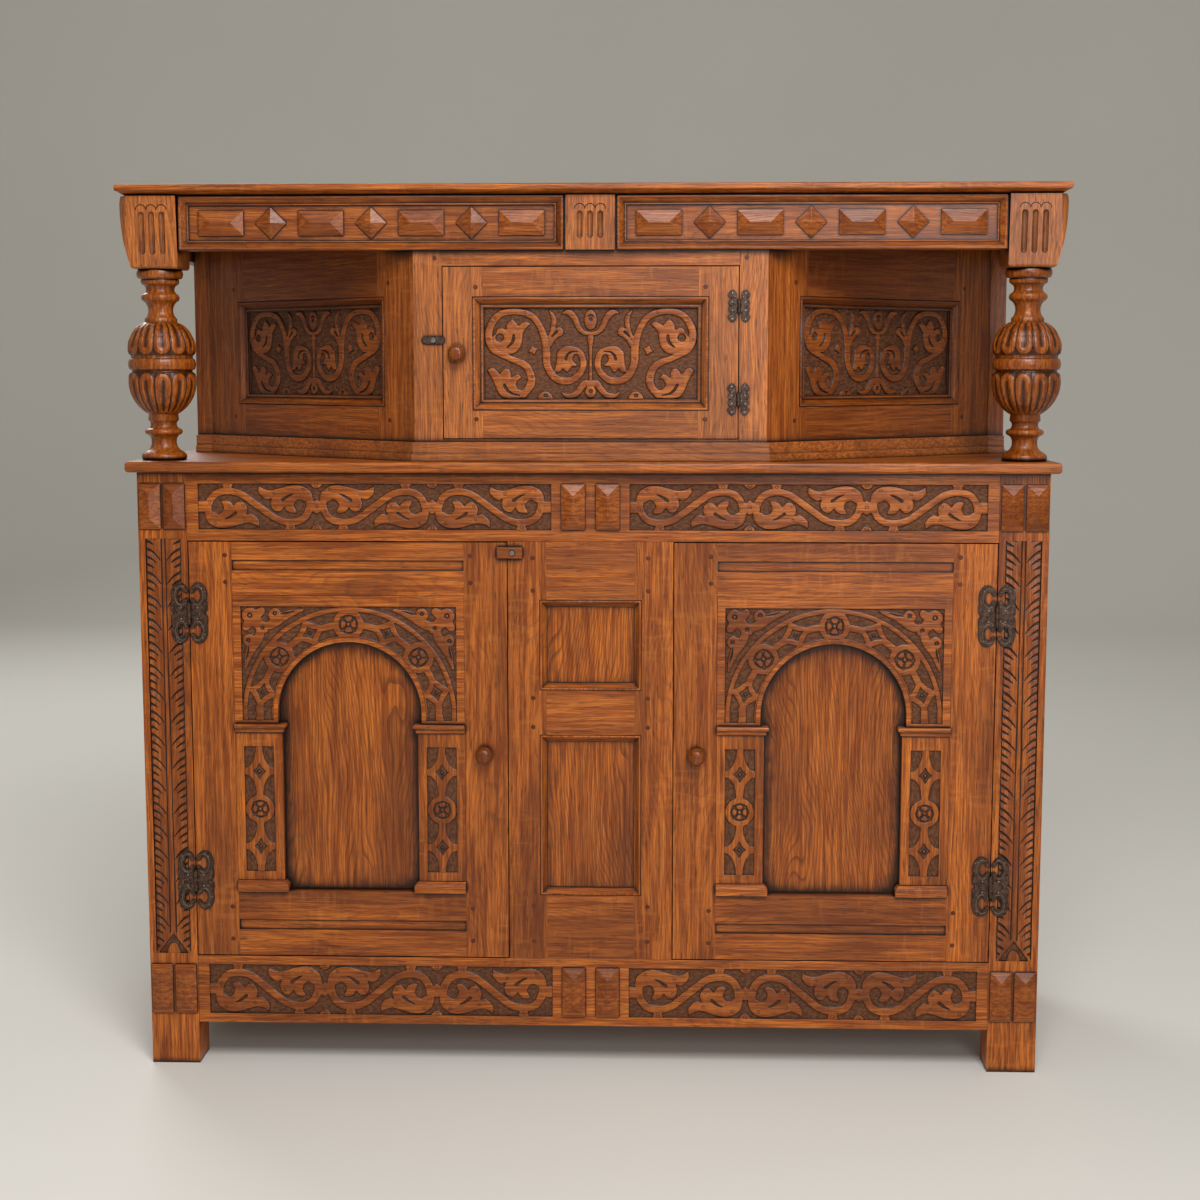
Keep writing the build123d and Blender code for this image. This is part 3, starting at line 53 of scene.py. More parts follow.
class Finish:
    """A material, with short calls for the nodes that its pattern is made of."""

    def __init__(self, name):
        self.material = bpy.data.materials.new(name)
        self.material.use_nodes = True
        self.tree = self.material.node_tree
        self.shader = self.tree.nodes["Principled BSDF"]
        self.place = self.add("TexCoord").outputs["Object"]

    def add(self, kind, inputs=None, **settings):
        made = self.tree.nodes.new("ShaderNode" + kind)
        for key, value in settings.items():
            setattr(made, key, value)
        for socket, value in (inputs or {}).items():
            self.put(made.inputs[socket], value)
        return made

    def put(self, socket, value):
        if isinstance(value, bpy.types.NodeSocket):
            self.tree.links.new(value, socket)
        else:
            socket.default_value = value

    def maths(self, operation, a, b=0.0, clamp=False):
        made = self.add("Math", {0: a, 1: b}, operation=operation, use_clamp=clamp)
        return made.outputs[0]

    def plus(self, a, b):
        return self.maths("ADD", a, b)

    def times(self, a, b):
        return self.maths("MULTIPLY", a, b)

    def stretch(self, vector, scale, turn=(0, 0, 0)):
        inputs = {"Vector": vector, "Scale": scale, "Rotation": turn}
        return self.add("Mapping", inputs).outputs[0]

    def noise(self, place, scale, detail, roughness=0.5, distortion=0.0, turn=(0, 0, 0)):
        inputs = {"Vector": self.stretch(place, scale, turn), "Scale": 1.0, "Detail": detail}
        inputs |= {"Roughness": roughness, "Distortion": distortion}
        return self.add("TexNoise", inputs).outputs[0]

    def ease(self, value, low, high):
        """0 where the value is at low, 1 where it is at high, and smooth in between."""
        inputs = {"Value": value, "From Min": low, "From Max": high}
        made = self.add("MapRange", inputs, interpolation_type="SMOOTHSTEP")
        return made.outputs[0]

    def mix(self, share, a, b):
        return self.add("Mix", {0: share, 6: a, 7: b}, data_type="RGBA").outputs[2]

    def closed(self, reach):
        """How closed in a place is: 0 in the open, 1 in a tight corner, seen as far as reach."""
        corner = self.add("AmbientOcclusion", {"Distance": reach}, samples=8)
        return self.maths("SUBTRACT", 1.0, corner.outputs["AO"])

    def surface(self, name, value):
        self.put(self.shader.inputs[name], value)

    def bump(self, height, strength, distance):
        inputs = {"Height": height, "Strength": strength, "Distance": distance}
        self.surface("Normal", self.add("Bump", inputs).outputs[0])


CANT = radians(40)
# How the grain is turned: along the width, up, from front to back, or along the canted sides.
GRAINS = {
    "across": (0, 0, 0),
    "upright": (0, pi / 2, 0),
    "deep": (0, 0, pi / 2),
    "cant": (0, 0, -CANT),
}
OAK_LIGHT = srgb(208, 116, 42)
OAK_MID = srgb(150, 74, 20)
OAK_DARK = srgb(80, 36, 12)
OAK_FLECK = srgb(220, 134, 58)
# Painted light: the lighter colour that the better-lit parts of the upper storey are faded towards.
OAK_PAINTED_LIGHT = srgb(222, 150, 98)
# Old wax in the pores and joints, and also the colour of painted shade in corners, creases and on
# carved walls.
WAX_AND_SHADE = srgb(22, 11, 6)
GROUND = srgb(62, 35, 18)
GROUND_LIGHT = srgb(98, 60, 35)
# How far the painted shade in tight creases and joints reaches.
SEAM_SHADE_REACH = 0.005


def board_grain(f, grain):
    """A value that is different for every board, and the place along its grain, shifted by it."""
    place = f.place
    if grain == "cant":
        parts = f.add("SeparateXYZ", {0: place})
        folded = f.maths("ABSOLUTE", parts.outputs[0])
        mirrored = {0: folded, 1: parts.outputs[1], 2: parts.outputs[2]}
        place = f.add("CombineXYZ", mirrored).outputs[0]
    board = f.add("NewGeometry").outputs["Random Per Island"]
    apart = f.times(board, 7.0)
    shift = f.add("CombineXYZ", {0: apart, 1: 0.0, 2: apart}).outputs[0]
    turned = f.stretch(place, (1, 1, 1), GRAINS[grain])
    along = f.add("VectorMath", {0: turned, 1: shift}, operation="ADD").outputs[0]
    return board, along


def growth_rings(f, along):
    """The dark early wood of rings round a line that wanders along the board."""
    wander = f.noise(along, (2.2, 9, 9), 2.0)
    parts = f.add("SeparateXYZ", {0: along})
    centre = f.plus(parts.outputs[2], f.times(wander, 0.16))
    deep = f.plus(f.times(parts.outputs[0], 0.05), 0.03)
    squares = f.plus(f.maths("POWER", centre, 2.0), f.maths("POWER", deep, 2.0))
    rings = f.maths("FRACT", f.times(f.maths("SQRT", squares), 190.0))
    return f.times(f.ease(rings, 0.55, 0.95), f.ease(rings, 1.0, 0.96))


def ray_flecks(f, along):
    """Short strokes across the grain, in patches."""
    strokes = f.noise(along, (130, 60, 34), 0.0, 0.5, 0.5, (0, 0.35, 0))
    patches = f.noise(along, (7, 9, 9), 1.0)
    return f.times(f.ease(strokes, 0.54, 0.76), f.ease(patches, 0.45, 0.62))


def with_soiling_and_shade(f, colour, along, sunk, grime_and_shade, seam_soiling_and_shade, reach):
    """The colour with wax, soiling and painted shade in corners, creases and joints, and a brown
    ground where it is sunk, with painted shade in the ground's corners and on the carving's walls.
    """
    closed = f.closed(reach)
    worn = f.noise(f.place, (70, 70, 70), 3.0)
    # Painted shade where a place is closed in, with worn patches of soiling.
    soiling_and_shade = f.ease(f.plus(closed, f.times(worn, 0.22)), 0.14, 0.52)
    colour = f.mix(f.times(soiling_and_shade, grime_and_shade), colour, WAX_AND_SHADE)
    # Painted shade in tight creases, with soiling in the joints.
    line = f.ease(f.closed(SEAM_SHADE_REACH), 0.08, 0.36)
    colour = f.mix(f.times(line, seam_soiling_and_shade), colour, WAX_AND_SHADE)
    patches = f.ease(f.noise(along, (160, 300, 300), 3.0), 0.35, 0.68)
    ground = f.mix(patches, GROUND, GROUND_LIGHT)
    # Painted shade in the corners of the sunk ground.
    ground = f.mix(f.ease(closed, 0.3, 0.7), ground, WAX_AND_SHADE)
    colour = f.mix(f.times(sunk, 0.9), colour, ground)
    # Painted shade on the carving's steep walls, half way between its top and its ground.
    wall = f.times(sunk, f.maths("SUBTRACT", 1.0, sunk))
    return f.mix(f.ease(wall, 0.04, 0.22), colour, WAX_AND_SHADE)


def oak(
    name, grain="across", tone=0.0, pale=0.0, flame=0.0, fleck=0.14, grime_and_shade=0.8, seam_soiling_and_shade=0.88,
    shine=0.42, reach=0.012,
):
    """Waxed oak: tone darkens it, as its own colour and, on the canted parts, as painted shade; pale
    fades it, as painted light on parts of the upper storey; flame shows its rings. Its corner and
    joint settings are how dark its corners, creases and joints are, partly soiling and partly
    painted shade, reach is how far that painted shade goes, and shine is its roughness."""
    f = Finish(name)
    board, along = board_grain(f, grain)
    sunk = f.add("Attribute", attribute_name="sunk").outputs["Fac"]
    cloud = f.noise(along, (3, 14, 14), 3.0)
    streak = f.noise(along, (9, 230, 230), 3.0, 0.62, 0.2)
    fibre = f.noise(along, (26, 800, 800), 2.0, 0.6)
    pores = f.ease(f.noise(along, (45, 620, 620), 1.0), 0.6, 0.72)
    early = growth_rings(f, along)

    colour = f.mix(f.ease(streak, 0.36, 0.64), OAK_MID, OAK_LIGHT)
    colour = f.mix(f.times(f.ease(cloud, 0.4, 0.68), 0.55), colour, OAK_DARK)
    # Painted light: the better-lit parts are faded lighter.
    colour = f.mix(pale, colour, OAK_PAINTED_LIGHT)
    colour = f.mix(f.times(f.ease(fibre, 0.3, 0.7), 0.5), colour, OAK_DARK)
    colour = f.mix(f.times(early, 0.3 + 0.32 * flame), colour, OAK_DARK)
    colour = f.mix(f.times(pores, 0.5), colour, WAX_AND_SHADE)
    colour = f.mix(f.times(ray_flecks(f, along), fleck), colour, OAK_FLECK)
    # A random tone for each board, and the given tone, which on the canted parts is painted shade.
    shade = f.plus(f.times(board, 0.22), tone)
    colour = f.mix(shade, colour, OAK_DARK)
    colour = with_soiling_and_shade(f, colour, along, sunk, grime_and_shade, seam_soiling_and_shade, reach)
    f.surface("Base Color", colour)

    gloss = f.plus(f.times(streak, 0.12), shine - 0.06)
    gloss = f.plus(gloss, f.times(sunk, 0.25))
    f.surface("Roughness", gloss)
    f.surface("Specular IOR Level", 0.32)
    f.surface("Coat Weight", 0.07)
    f.surface("Coat Roughness", 0.22)
    relief = f.maths("SUBTRACT", f.times(fibre, 0.6), pores)
    relief = f.maths("SUBTRACT", relief, f.times(early, 0.6))
    punched = f.noise(f.place, (600, 600, 600), 1.0)
    relief = f.plus(relief, f.times(f.times(punched, sunk), 5.0))
    relief = f.plus(relief, f.times(cloud, 3.0))
    f.bump(relief, 0.35, 0.0005)
    return f.material


def iron(name, rubbed_and_glint=0.0):
    """Blackened iron with a brown bloom and random spots worn light; rubbed lightens it all over, as
    wear and as a painted highlight.
    """
    f = Finish(name)
    patch = f.noise(f.place, (160, 160, 160), 4.0, 0.65)
    rub = f.noise(f.place, (420, 420, 420), 2.0)
    colour = f.mix(f.ease(patch, 0.35, 0.65), srgb(46, 31, 24), srgb(84, 60, 46))
    # Spots worn light, and an even painted highlight added over all of it.
    worn_and_glint = f.maths("ADD", f.ease(rub, 0.62, 0.75), rubbed_and_glint, True)
    colour = f.mix(worn_and_glint, colour, srgb(128, 110, 96))
    f.surface("Base Color", colour)
    f.surface("Metallic", 0.5)
    f.surface("Roughness", f.plus(f.times(patch, 0.3), 0.3))
    f.bump(f.plus(patch, rub), 0.5, 0.0006)
    return f.material


def steel(name):
    """Worn steel of screw and nail heads."""
    f = Finish(name)
    scuff = f.noise(f.place, (900, 900, 900), 3.0)
    f.surface("Base Color", f.mix(f.ease(scuff, 0.4, 0.7), srgb(150, 146, 140), srgb(88, 78, 70)))
    f.surface("Metallic", 0.9)
    f.surface("Roughness", f.plus(f.times(scuff, 0.3), 0.22))
    f.bump(scuff, 0.3, 0.0003)
    return f.material


# Each finish's corner and joint settings and reach set how much painted shade, with soiling, darkens
# its corners, creases and joints.
oak_across = oak("oak_across")
oak_upright = oak("oak_upright", "upright")
# Lighter copies for the upper storey's frame: painted light, as it is better lit.
oak_painted_light_across = oak("oak_painted_light_across", pale=0.08)
oak_painted_light_upright = oak("oak_painted_light_upright", "upright", pale=0.2)
# Darker, with a longer reach of painted shade in its corners: painted shade on the canted sides
# under the frieze.
oak_cant = oak("oak_cant", "cant", tone=0.4, reach=0.026)
oak_carved_across = oak("oak_carved_across", tone=0.2)
oak_carved_upright = oak("oak_carved_upright", "upright", tone=0.22)
# Lighter and with less painted shade in its corners and joints: painted light to lift the plinth
# where it stands next to the mid board.
oak_plinth = oak("oak_plinth", pale=0.12, grime_and_shade=0.25, seam_soiling_and_shade=0.45)
# Broad painted shade in the panels' corners, with soiling.
oak_flame = oak(
    "oak_flame", "upright", tone=0.05, flame=1.0, fleck=0.0, grime_and_shade=0.95, shine=0.36, reach=0.034
)
# Broad painted shade in the frieze's inner corners.
oak_frieze = oak("oak_frieze", tone=0.12, grime_and_shade=0.9, reach=0.022)
oak_boss = oak("oak_boss", tone=0.32, grime_and_shade=0.6, shine=0.36)
# A darker copy with a longer reach of painted shade: painted shade on the canted stiles and side
# returns.
oak_shade = oak("oak_shade", "upright", tone=0.25, reach=0.026)
oak_deep = oak("oak_deep", "deep")
oak_inside = oak("oak_inside", tone=0.3)
oak_peg = oak("oak_peg", tone=0.85)
oak_turned = oak("oak_turned", "upright", tone=0.15, grime_and_shade=0.9, shine=0.3)
oak_knob = oak("oak_knob", "upright", tone=0.5, shine=0.26)
black_iron = iron("black_iron")
# Lightened all over for the hinge beads: wear and a painted highlight.
rubbed_glinting_iron = iron("rubbed_glinting_iron", 0.3)
nail_steel = steel("nail_steel")

FINISHES = {
    oak_painted_light_across: ("upper_rails", "upper_door_rails"),
    oak_plinth: ("upper_plinth",),
    oak_carved_across: ("upper_door_panel",),
    oak_painted_light_upright: ("upper_stiles", "upper_door_stiles", "frieze_blocks"),
    oak_cant: ("canted_rails", "canted_panels"),
    oak_shade: ("canted_stiles", "side_returns"),
    oak_upright: ("posts", "columns", "stiles", "pilasters"),
    oak_flame: ("door_panel", "centre_panels", "side_panels", "back_panels"),
    oak_frieze: ("frieze_boards", "frieze_mouldings"),
    oak_boss: ("bosses",),
    oak_deep: ("side_rails", "shelf_bearers"),
    oak_inside: ("shelf_boards",),
    oak_knob: ("knob",),
    oak_peg: ("pegs",),
    black_iron: ("hinge_leaves", "hinge_frame_leaves", "hinge_pins", "iron_latch"),
    nail_steel: ("nails", "button_screws"),
}


def finish_of(name):
    """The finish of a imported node: the one whose list has an ending of its name."""
    for material, endings in FINISHES.items():
        if name.endswith(endings):
            return material
    return oak_across


SOFT_EDGE = 0.7 * MM
SHARP_ANGLE, FACET_ANGLE = radians(32), radians(6)


def dress(name, piece):
    """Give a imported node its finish, and ease its arrises without touching its own mesh."""
    piece.data.materials.clear()
    piece.data.materials.append(finish_of(name))
    for face in piece.data.polygons:
        face.use_smooth = True
    weld = piece.modifiers.new("weld", "WELD")
    weld.merge_threshold = 0.01 * MM
    flat = piece.modifiers.new("flat", "DECIMATE")
    flat.decimate_type = "DISSOLVE"
    flat.angle_limit = radians(0.4)
    ease = piece.modifiers.new("ease", "BEVEL")
    ease.width = SOFT_EDGE
    ease.segments = 2
    ease.limit_method = "ANGLE"
    ease.angle_limit = FACET_ANGLE if name.endswith("bosses") else SHARP_ANGLE
    normals = piece.modifiers.new("normals", "WEIGHTED_NORMAL")
    normals.keep_sharp = True


for name, piece in nodes.items():
    dress(name, piece)

# ---- carving

# The front of the lower case, how deep a carved field's pocket is, how far its ground stands over
# the pocket's floor, and the ways across, up and out of an upright field.
FRONT = -206.0
POCKET = 3.0
GROUND_LIFT = 0.15
UPRIGHT = ((1, 0, 0), (0, 0, 1), (0, -1, 0))
# The carvings' grid, a distance past every shape, half a wall's width, how far in a crown rises,
# how far round a shape its distances are worked out, and the angles of a circle's points.
CELL = 0.9
FAR = 40.0
WALL = 0.6
CROWN = 4
MARGIN = 3
TURN = [2 * pi * i / 20 for i in range(20)]


def smooth(points):
    """Points along a smooth line through the given ones (a Catmull-Rom spline)."""
    points = np.array(points, float)
    knots = np.concatenate((points[:1], points, points[-1:]))
    steps = np.linspace(0, 1, 5, endpoint=False)[:, None]
    spans = []
    for a, b, c, d in zip(knots, knots[1:], knots[2:], knots[3:]):
        bend = (2 * a - 5 * b + 4 * c - d) * steps**2 + (3 * b - a - 3 * c + d) * steps**3
        spans.append((2 * b + (c - a) * steps + bend) / 2)
    return np.concatenate((*spans, points[-1:]))


def outline(start, *runs):
    """A closed outline of smooth runs that meet at corners, each going on from the last one."""
    parts = []
    for run in runs:
        parts.append(smooth([start, *run])[:-1])
        start = run[-1]
    return np.concatenate(parts)


def mover(centre=(0, 0), size=(1, 1), turn=0.0):
    """A call that scales, turns and then shifts points, and scales any third value, a half width."""
    c, s = cos(turn), sin(turn)

    def move(points):
        points = np.array(points, float)
        u, v = points[:, 0] * size[0], points[:, 1] * size[1]
        columns = [centre[0] + c * u - s * v, centre[1] + s * u + c * v]
        if points.shape[1] == 3:
            columns.append(points[:, 2] * abs(size[1]))
        return np.stack(columns, -1)

    return move


def after(first, second):
    """A move that does the first and then the second."""
    return lambda points: second(first(points))


def step(value, low, high):
    """0 where the value is at low, 1 where it is at high, and smooth in between."""
    share = np.clip((value - low) / (high - low), 0, 1)
    return share * share * (3 - 2 * share)


def from_segment(cells, a, b):
    """Each cell's share of the way from a to b, and how far it is from the line between them."""
    along = b - a
    share = np.clip((cells - a) @ along / max(along @ along, 1e-9), 0, 1)
    return share, np.hypot(*(cells - a - share[:, None] * along).T)


class Relief:
    """A carved field in millimetres: shapes left standing over a sunk ground, on a grid of cells."""

    def __init__(self, width, height):
        self.u, self.v = np.meshgrid(
            np.linspace(-width / 2, width / 2, round(width / CELL) + 1),
            np.linspace(-height / 2, height / 2, round(height / CELL) + 1),
        )
        self.gap = np.full(self.u.shape, FAR)
        self.cut = np.zeros(self.u.shape)
        self.swell = np.zeros(self.u.shape)
        self.kept = np.ones(self.u.shape, bool)

    def near(self, points, margin):
        """The cells in a box round some points, their places, and how far off each is so far."""
        low, high = points[:, :2].min(0) - margin, points[:, :2].max(0) + margin
        where = (self.u > low[0]) & (self.u < high[0]) & (self.v > low[1]) & (self.v < high[1])
        cells = np.stack((self.u[where], self.v[where]), -1)
        return where, cells, np.full(len(cells), FAR)

    def to_line(self, points, radii):
        """The cells near a line, and how far each is from its edge."""
        where, cells, best = self.near(points, radii.max() + MARGIN)
        for a, b, wide, narrow in zip(points, points[1:], radii, radii[1:]):
            share, off = from_segment(cells, a, b)
            best = np.minimum(best, off - (wide + (narrow - wide) * share))
        return where, best

    def to_area(self, points):
        """The cells near a closed outline, and how far each is from it, negative inside."""
        where, cells, best = self.near(points, MARGIN)
        inside = np.zeros(len(cells), bool)
        for a, b in zip(points, np.roll(points, -1, 0)):
            best = np.minimum(best, from_segment(cells, a, b)[1])
            along = b - a
            between = (a[1] > cells[:, 1]) != (b[1] > cells[:, 1])
            rise = along[1] if along[1] else 1e-9
            left = cells[:, 0] < a[0] + along[0] * (cells[:, 1] - a[1]) / rise
            inside ^= between & left
        return where, np.where(inside, -best, best)

    def stroke(self, points, move=mover()):
        """A band left standing: points hold u, v and half width."""
        line = move(smooth(points))
        where, gap = self.to_line(line[:, :2], line[:, 2])
        self.gap[where] = np.minimum(self.gap[where], gap)

    def area(self, points, move=mover()):
        where, gap = self.to_area(move(points))
        self.gap[where] = np.minimum(self.gap[where], gap)

    def disc(self, centre, radius, move=mover()):
        self.stroke([(*centre, radius), (centre[0] + 0.01, centre[1], radius)], move)

    def hollow(self, points, move=mover()):
        """Sink the ground again inside a closed outline."""
        where, gap = self.to_area(move(points))
        self.gap[where] = np.maximum(self.gap[where], -gap)

    def pit(self, centre, radius, move=mover()):
        self.hollow(ellipse_points(centre, radius, radius), move)

    def incise(self, points, depth, move=mover()):
        """A gouge line cut into what stands, as deep as the given share of the relief."""
        line = move(smooth(points))
        where, gap = self.to_line(line[:, :2], line[:, 2])
        self.cut[where] = np.maximum(self.cut[where], depth * step(gap, WALL, -WALL))

    def ring(self, centre, radius, half_width, depth, move=mover()):
        points = [(*point, half_width) for point in ellipse_points(centre, radius, radius)]
        self.incise(points + points[:1], depth, move)

    def pyramid(self, points, height, move=mover()):
        """A low pyramid standing on the ground inside a closed outline."""
        where, gap = self.to_area(move(points))
        rise = height * np.clip(gap / gap.min(), 0, 1)
        self.swell[where] = np.maximum(self.swell[where], rise)

    def heights(self):
        """0 at the ground and 1 at the top, with eased walls and lightly crowned shapes."""
        wall = step(self.gap, WALL, -WALL)
        crown = 0.82 + 0.18 * step(self.gap, 0, -CROWN)
        return np.clip(wall * crown - self.cut * wall + self.swell, 0, 1)


def ellipse_points(centre, across, up):
    return [(centre[0] + across * cos(a), centre[1] + up * sin(a)) for a in TURN]


def box_points(left, right, bottom, top):
    return [(left, bottom), (right, bottom), (right, top), (left, top)]


def rim_of(cells):
    """The points round the outside of a sheet of cells, in order."""
    edges = np.stack((cells, np.roll(cells, -1, 1)), -1).reshape(-1, 2)
    seen = {(b, a) for a, b in edges.tolist()}
    rim = dict(edge for edge in map(tuple, edges.tolist()) if edge not in seen)
    loop = [next(iter(rim))]
    while len(loop) < len(rim):
        loop.append(rim[loop[-1]])
    return loop


def carve(name, relief, body, slot, material, place, axes=UPRIGHT, depth=POCKET):
    """Turn a relief into a closed mesh whose back lies on the floor of its pocket."""
    heights = relief.heights()
    place = np.array(place, float)
    across, up, out = (np.array(v, float) for v in axes)
    lift = heights * (depth - GROUND_LIFT) + GROUND_LIFT
    flat = place + relief.u[..., None] * across + relief.v[..., None] * up
    top = (flat + lift[..., None] * out).reshape(-1, 3)
    index = np.arange(relief.u.size).reshape(relief.u.shape)
    cells = np.stack((index[:-1, :-1], index[:-1, 1:], index[1:, 1:], index[1:, :-1]), -1)
    if np.dot(np.cross(across, up), out) < 0:
        cells = cells[..., ::-1]
    cells = cells[relief.kept.reshape(-1)[cells].all(-1)]
    loop = rim_of(cells)
    used = np.unique(cells)
    order = np.full(len(top), -1)
    order[used] = np.arange(len(used))
    count, turns = len(used), len(loop)
    points = np.concatenate((top[used], flat.reshape(-1, 3)[loop]))
    faces = order[cells].tolist()
    ring = order[loop].tolist()
    for i in range(turns):
        j = (i + 1) % turns
        faces.append((ring[j], ring[i], count + i, count + j))
    faces.append([count + i for i in range(turns)])
    sunk = np.concatenate((1 - step(heights.reshape(-1)[used], 0.15, 0.75), np.zeros(turns)))
    return make_piece(name, points, faces, material, body, sunk, flat_from=len(cells))


def tube_faces(levels, turns):
    """The faces of a tube made of rings of points, with a flat face at each end last."""
    faces = []
    for level in range(levels - 1):
        for i in range(turns):
            j = (i + 1) % turns
            a, b = level * turns, (level + 1) * turns
            faces.append((a + i, a + j, b + j, b + i))
    faces.append(list(range(turns))[::-1])
    faces.append([(levels - 1) * turns + i for i in range(turns)])
    return faces


def new_object(name, data):
    """An object in the scene that shows the given mesh, lamp or lens."""
    made = bpy.data.objects.new(name, data)
    scene.collection.objects.link(made)
    return made


def make_piece(name, points, faces, material, body, sunk=None, flat_from=None):
    """A mesh from points in millimetres, riding on its body, with how sunk each point is."""
    mesh = bpy.data.meshes.new(name)
    mesh.from_pydata((np.array(points) * MM).tolist(), [], faces)
    smooth_faces = np.ones(len(mesh.polygons), bool)
    smooth_faces[flat_from if flat_from is not None else len(faces):] = False
    mesh.polygons.foreach_set("use_smooth", smooth_faces)
    if sunk is not None:
        mesh.attributes.new("sunk", "FLOAT", "POINT").data.foreach_set("value", sunk)
    mesh.materials.append(material)
    piece = new_object(name, mesh)
    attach(piece, body)
    return piece


# ---- carved rails

SCROLL_PITCH = 171.5
SCROLL_HEIGHT = 68
# One scroll, from its leaf to the middle of the pair: the band's points with their half widths,
# the outline of the leaf, the bud on the field's edge, a gouge cut and four punched dots. A gouge
# cut's third values are half widths too.
SCROLL_BAND = [
    (-62.7, -26.5, 5), (-72.5, -20, 5.6), (-75.7, -9, 5.7), (-74.9, 3.1, 5.7),
    (-68.8, 14.5, 5.6), (-58.3, 21.2, 5.6), (-41.8, 22.6, 5.5), (-26.1, 18.2, 5.4),
    (-12.2, 8.9, 5.5), (0, 0, 5.6),
]
SCROLL_LEAF = (
    (-76, -8),
    [(-76, -22), (-62.7, -31.3), (-45.3, -31.3), (-27.9, -26.8), (-17.4, -24.6), (-8.5, -26.5),
     (-0.3, -31)],
    [(0.6, -21.5), (-5.2, -13.9), (-12.2, -10.2), (-19.2, -12)],
    [(-17, -4.7), (-19.2, 2.8), (-25.2, 7.5), (-32.2, 7), (-37.8, 1.2)],
    [(-41.8, 7), (-49.6, 9.7), (-56.6, 8), (-52.6, -1.2), (-55.7, -8), (-61.5, -10.4), (-68.5, -7),
     (-76, -8)],
)
SCROLL_GOUGE = [(-51, -18.6, 0.4), (-43, -15.2, 1.3), (-35, -9.6, 1.9)]
SCROLL_BUD = (
    (-56, 36), [(-54.2, 31), (-52, 25)], [(-41, 25)], [(-38.8, 31), (-37, 36)],
)
BUD_EYE = (-46.5, 30)
SCROLL_DOTS = ((-73.5, 6), (-66, -25), (-22, -19), (-24, 1))
KNOT = (
    (-13, -6), [(-6, -7.5), (0, -11), (6, -7.5), (13, -6)], [(13, 6)],
    [(6, 7.5), (0, 11), (-6, 7.5), (-13, 6)], [(-13, -6)],
)
EDGE_BUD_OUT, EDGE_BUD_RADIUS = 2.5, 9.5
TAB_LENGTH, TAB_HALF = 13, 8.5


def scroll_pair(relief, move):
    """Two scrolls that end in three-lobed leaves, joined by a slanting stem."""
    for turn in (0.0, pi):
        half = after(mover(turn=turn), move)
        relief.stroke(SCROLL_BAND, half)
        relief.area(outline(*SCROLL_LEAF), half)
        relief.incise(SCROLL_GOUGE, 0.75, half)
        relief.area(outline(*SCROLL_BUD), half)
        relief.ring(BUD_EYE, 2.2, 0.5, 0.35, half)
        for point in SCROLL_DOTS:
            relief.ring(point, 1.9, 0.5, 0.35, half)


def rail_field(width, height):
    """The running scrolls of a rail: the middle pair is the mirror of the outer two."""
    relief = Relief(width, height)
    for place, flip in ((-SCROLL_PITCH, 1), (0, -1), (SCROLL_PITCH, 1)):
        scroll_pair(relief, mover((place, 0), (flip, height / SCROLL_HEIGHT)))
    half = height / 2
    for place in (-SCROLL_PITCH / 2, SCROLL_PITCH / 2):
        relief.area(outline(*KNOT), mover((place, 0)))
        relief.ring((place, 0), 2.2, 0.5, 0.35)
        for edge in (-1, 1):
            relief.disc((place, edge * (half + EDGE_BUD_OUT)), EDGE_BUD_RADIUS)
            relief.ring((place, edge * (half - 2)), 2.4, 0.6, 0.4)
    tab = box_points(width / 2 - TAB_LENGTH, width / 2 + 1, -TAB_HALF, TAB_HALF)
    for end in (-1, 1):
        relief.area([(end * x, y) for x, y in tab])
    return relief


# The upper rail's carving takes the plain finish and the lower one the darker carved finish: painted
# light and shade, lighter above and darker below as the light falls off downward.
RAIL_FIELDS = {"upper": (821.0, 889.0, oak_across), "lower": (79.0, 156.0, oak_carved_across)}
FIELD_START, FIELD_LENGTH = 58.0, 524.0
for level, (bottom, top, finish) in RAIL_FIELDS.items():
    for side, hand in HANDS:
        name = f"{level}_rail_scrolls_{hand}"
        relief = rail_field(FIELD_LENGTH, top - bottom)
        place = (side * (FIELD_START + FIELD_LENGTH / 2), FRONT + POCKET, (bottom + top) / 2)
        axes = ((-side, 0, 0), *UPRIGHT[1:])
        carve(name, relief, "root", "oak_frame", finish, place, axes)

# ---- carved motifs


def star_points(across, up, waist):
    """A four-pointed outline with hollow sides; waist is how far out the sides' middles lie."""
    tips = [(across, 0), (0, up), (-across, 0), (0, -up), (across, 0)]
    runs = []
    for (a, b), (c, d) in zip(tips, tips[1:]):
        runs.append([((a + c) * waist, (b + d) * waist), (c, d)])
    return outline(tips[0], *runs)


def rosette(relief, radius, move):
    """A broad ring round a disc that four gouge cuts divide, with a dot at its middle."""
    relief.disc((0, 0), radius, move)
    rim = 0.55 * radius
    relief.ring((0, 0), rim, 1.2, 0.9, move)
    relief.ring((0, 0), 3.4, 0.9, 0.8, move)
    spoke = [(4.0, 0, 0.7), (0.5 * rim, 0, 1.3), (rim, 0, 2.3)]
    for quarter in range(4):
        relief.incise(spoke, 1.0, after(mover(turn=pi / 4 + quarter * pi / 2), move))


DIAMOND_WAIST = 0.42
PYRAMID_SHARE, PYRAMID_HEIGHT = 0.74, 0.72


def framed_diamond(relief, across, up, move):
    """A sunk diamond with hollow sides and a small pyramid standing in it."""
    relief.hollow(star_points(across, up, DIAMOND_WAIST), move)
    pyramid = star_points(PYRAMID_SHARE * across, PYRAMID_SHARE * up, DIAMOND_WAIST)
    relief.pyramid(pyramid, PYRAMID_HEIGHT, move)


# ---- posts

POST_FIELD = (53.0, 634.0)
POST_MIDDLE = (636.0, 490.0)
LEAF_PITCH, LEAF_RISE, LEAF_BEND = 35.0, 21.0, 1.9
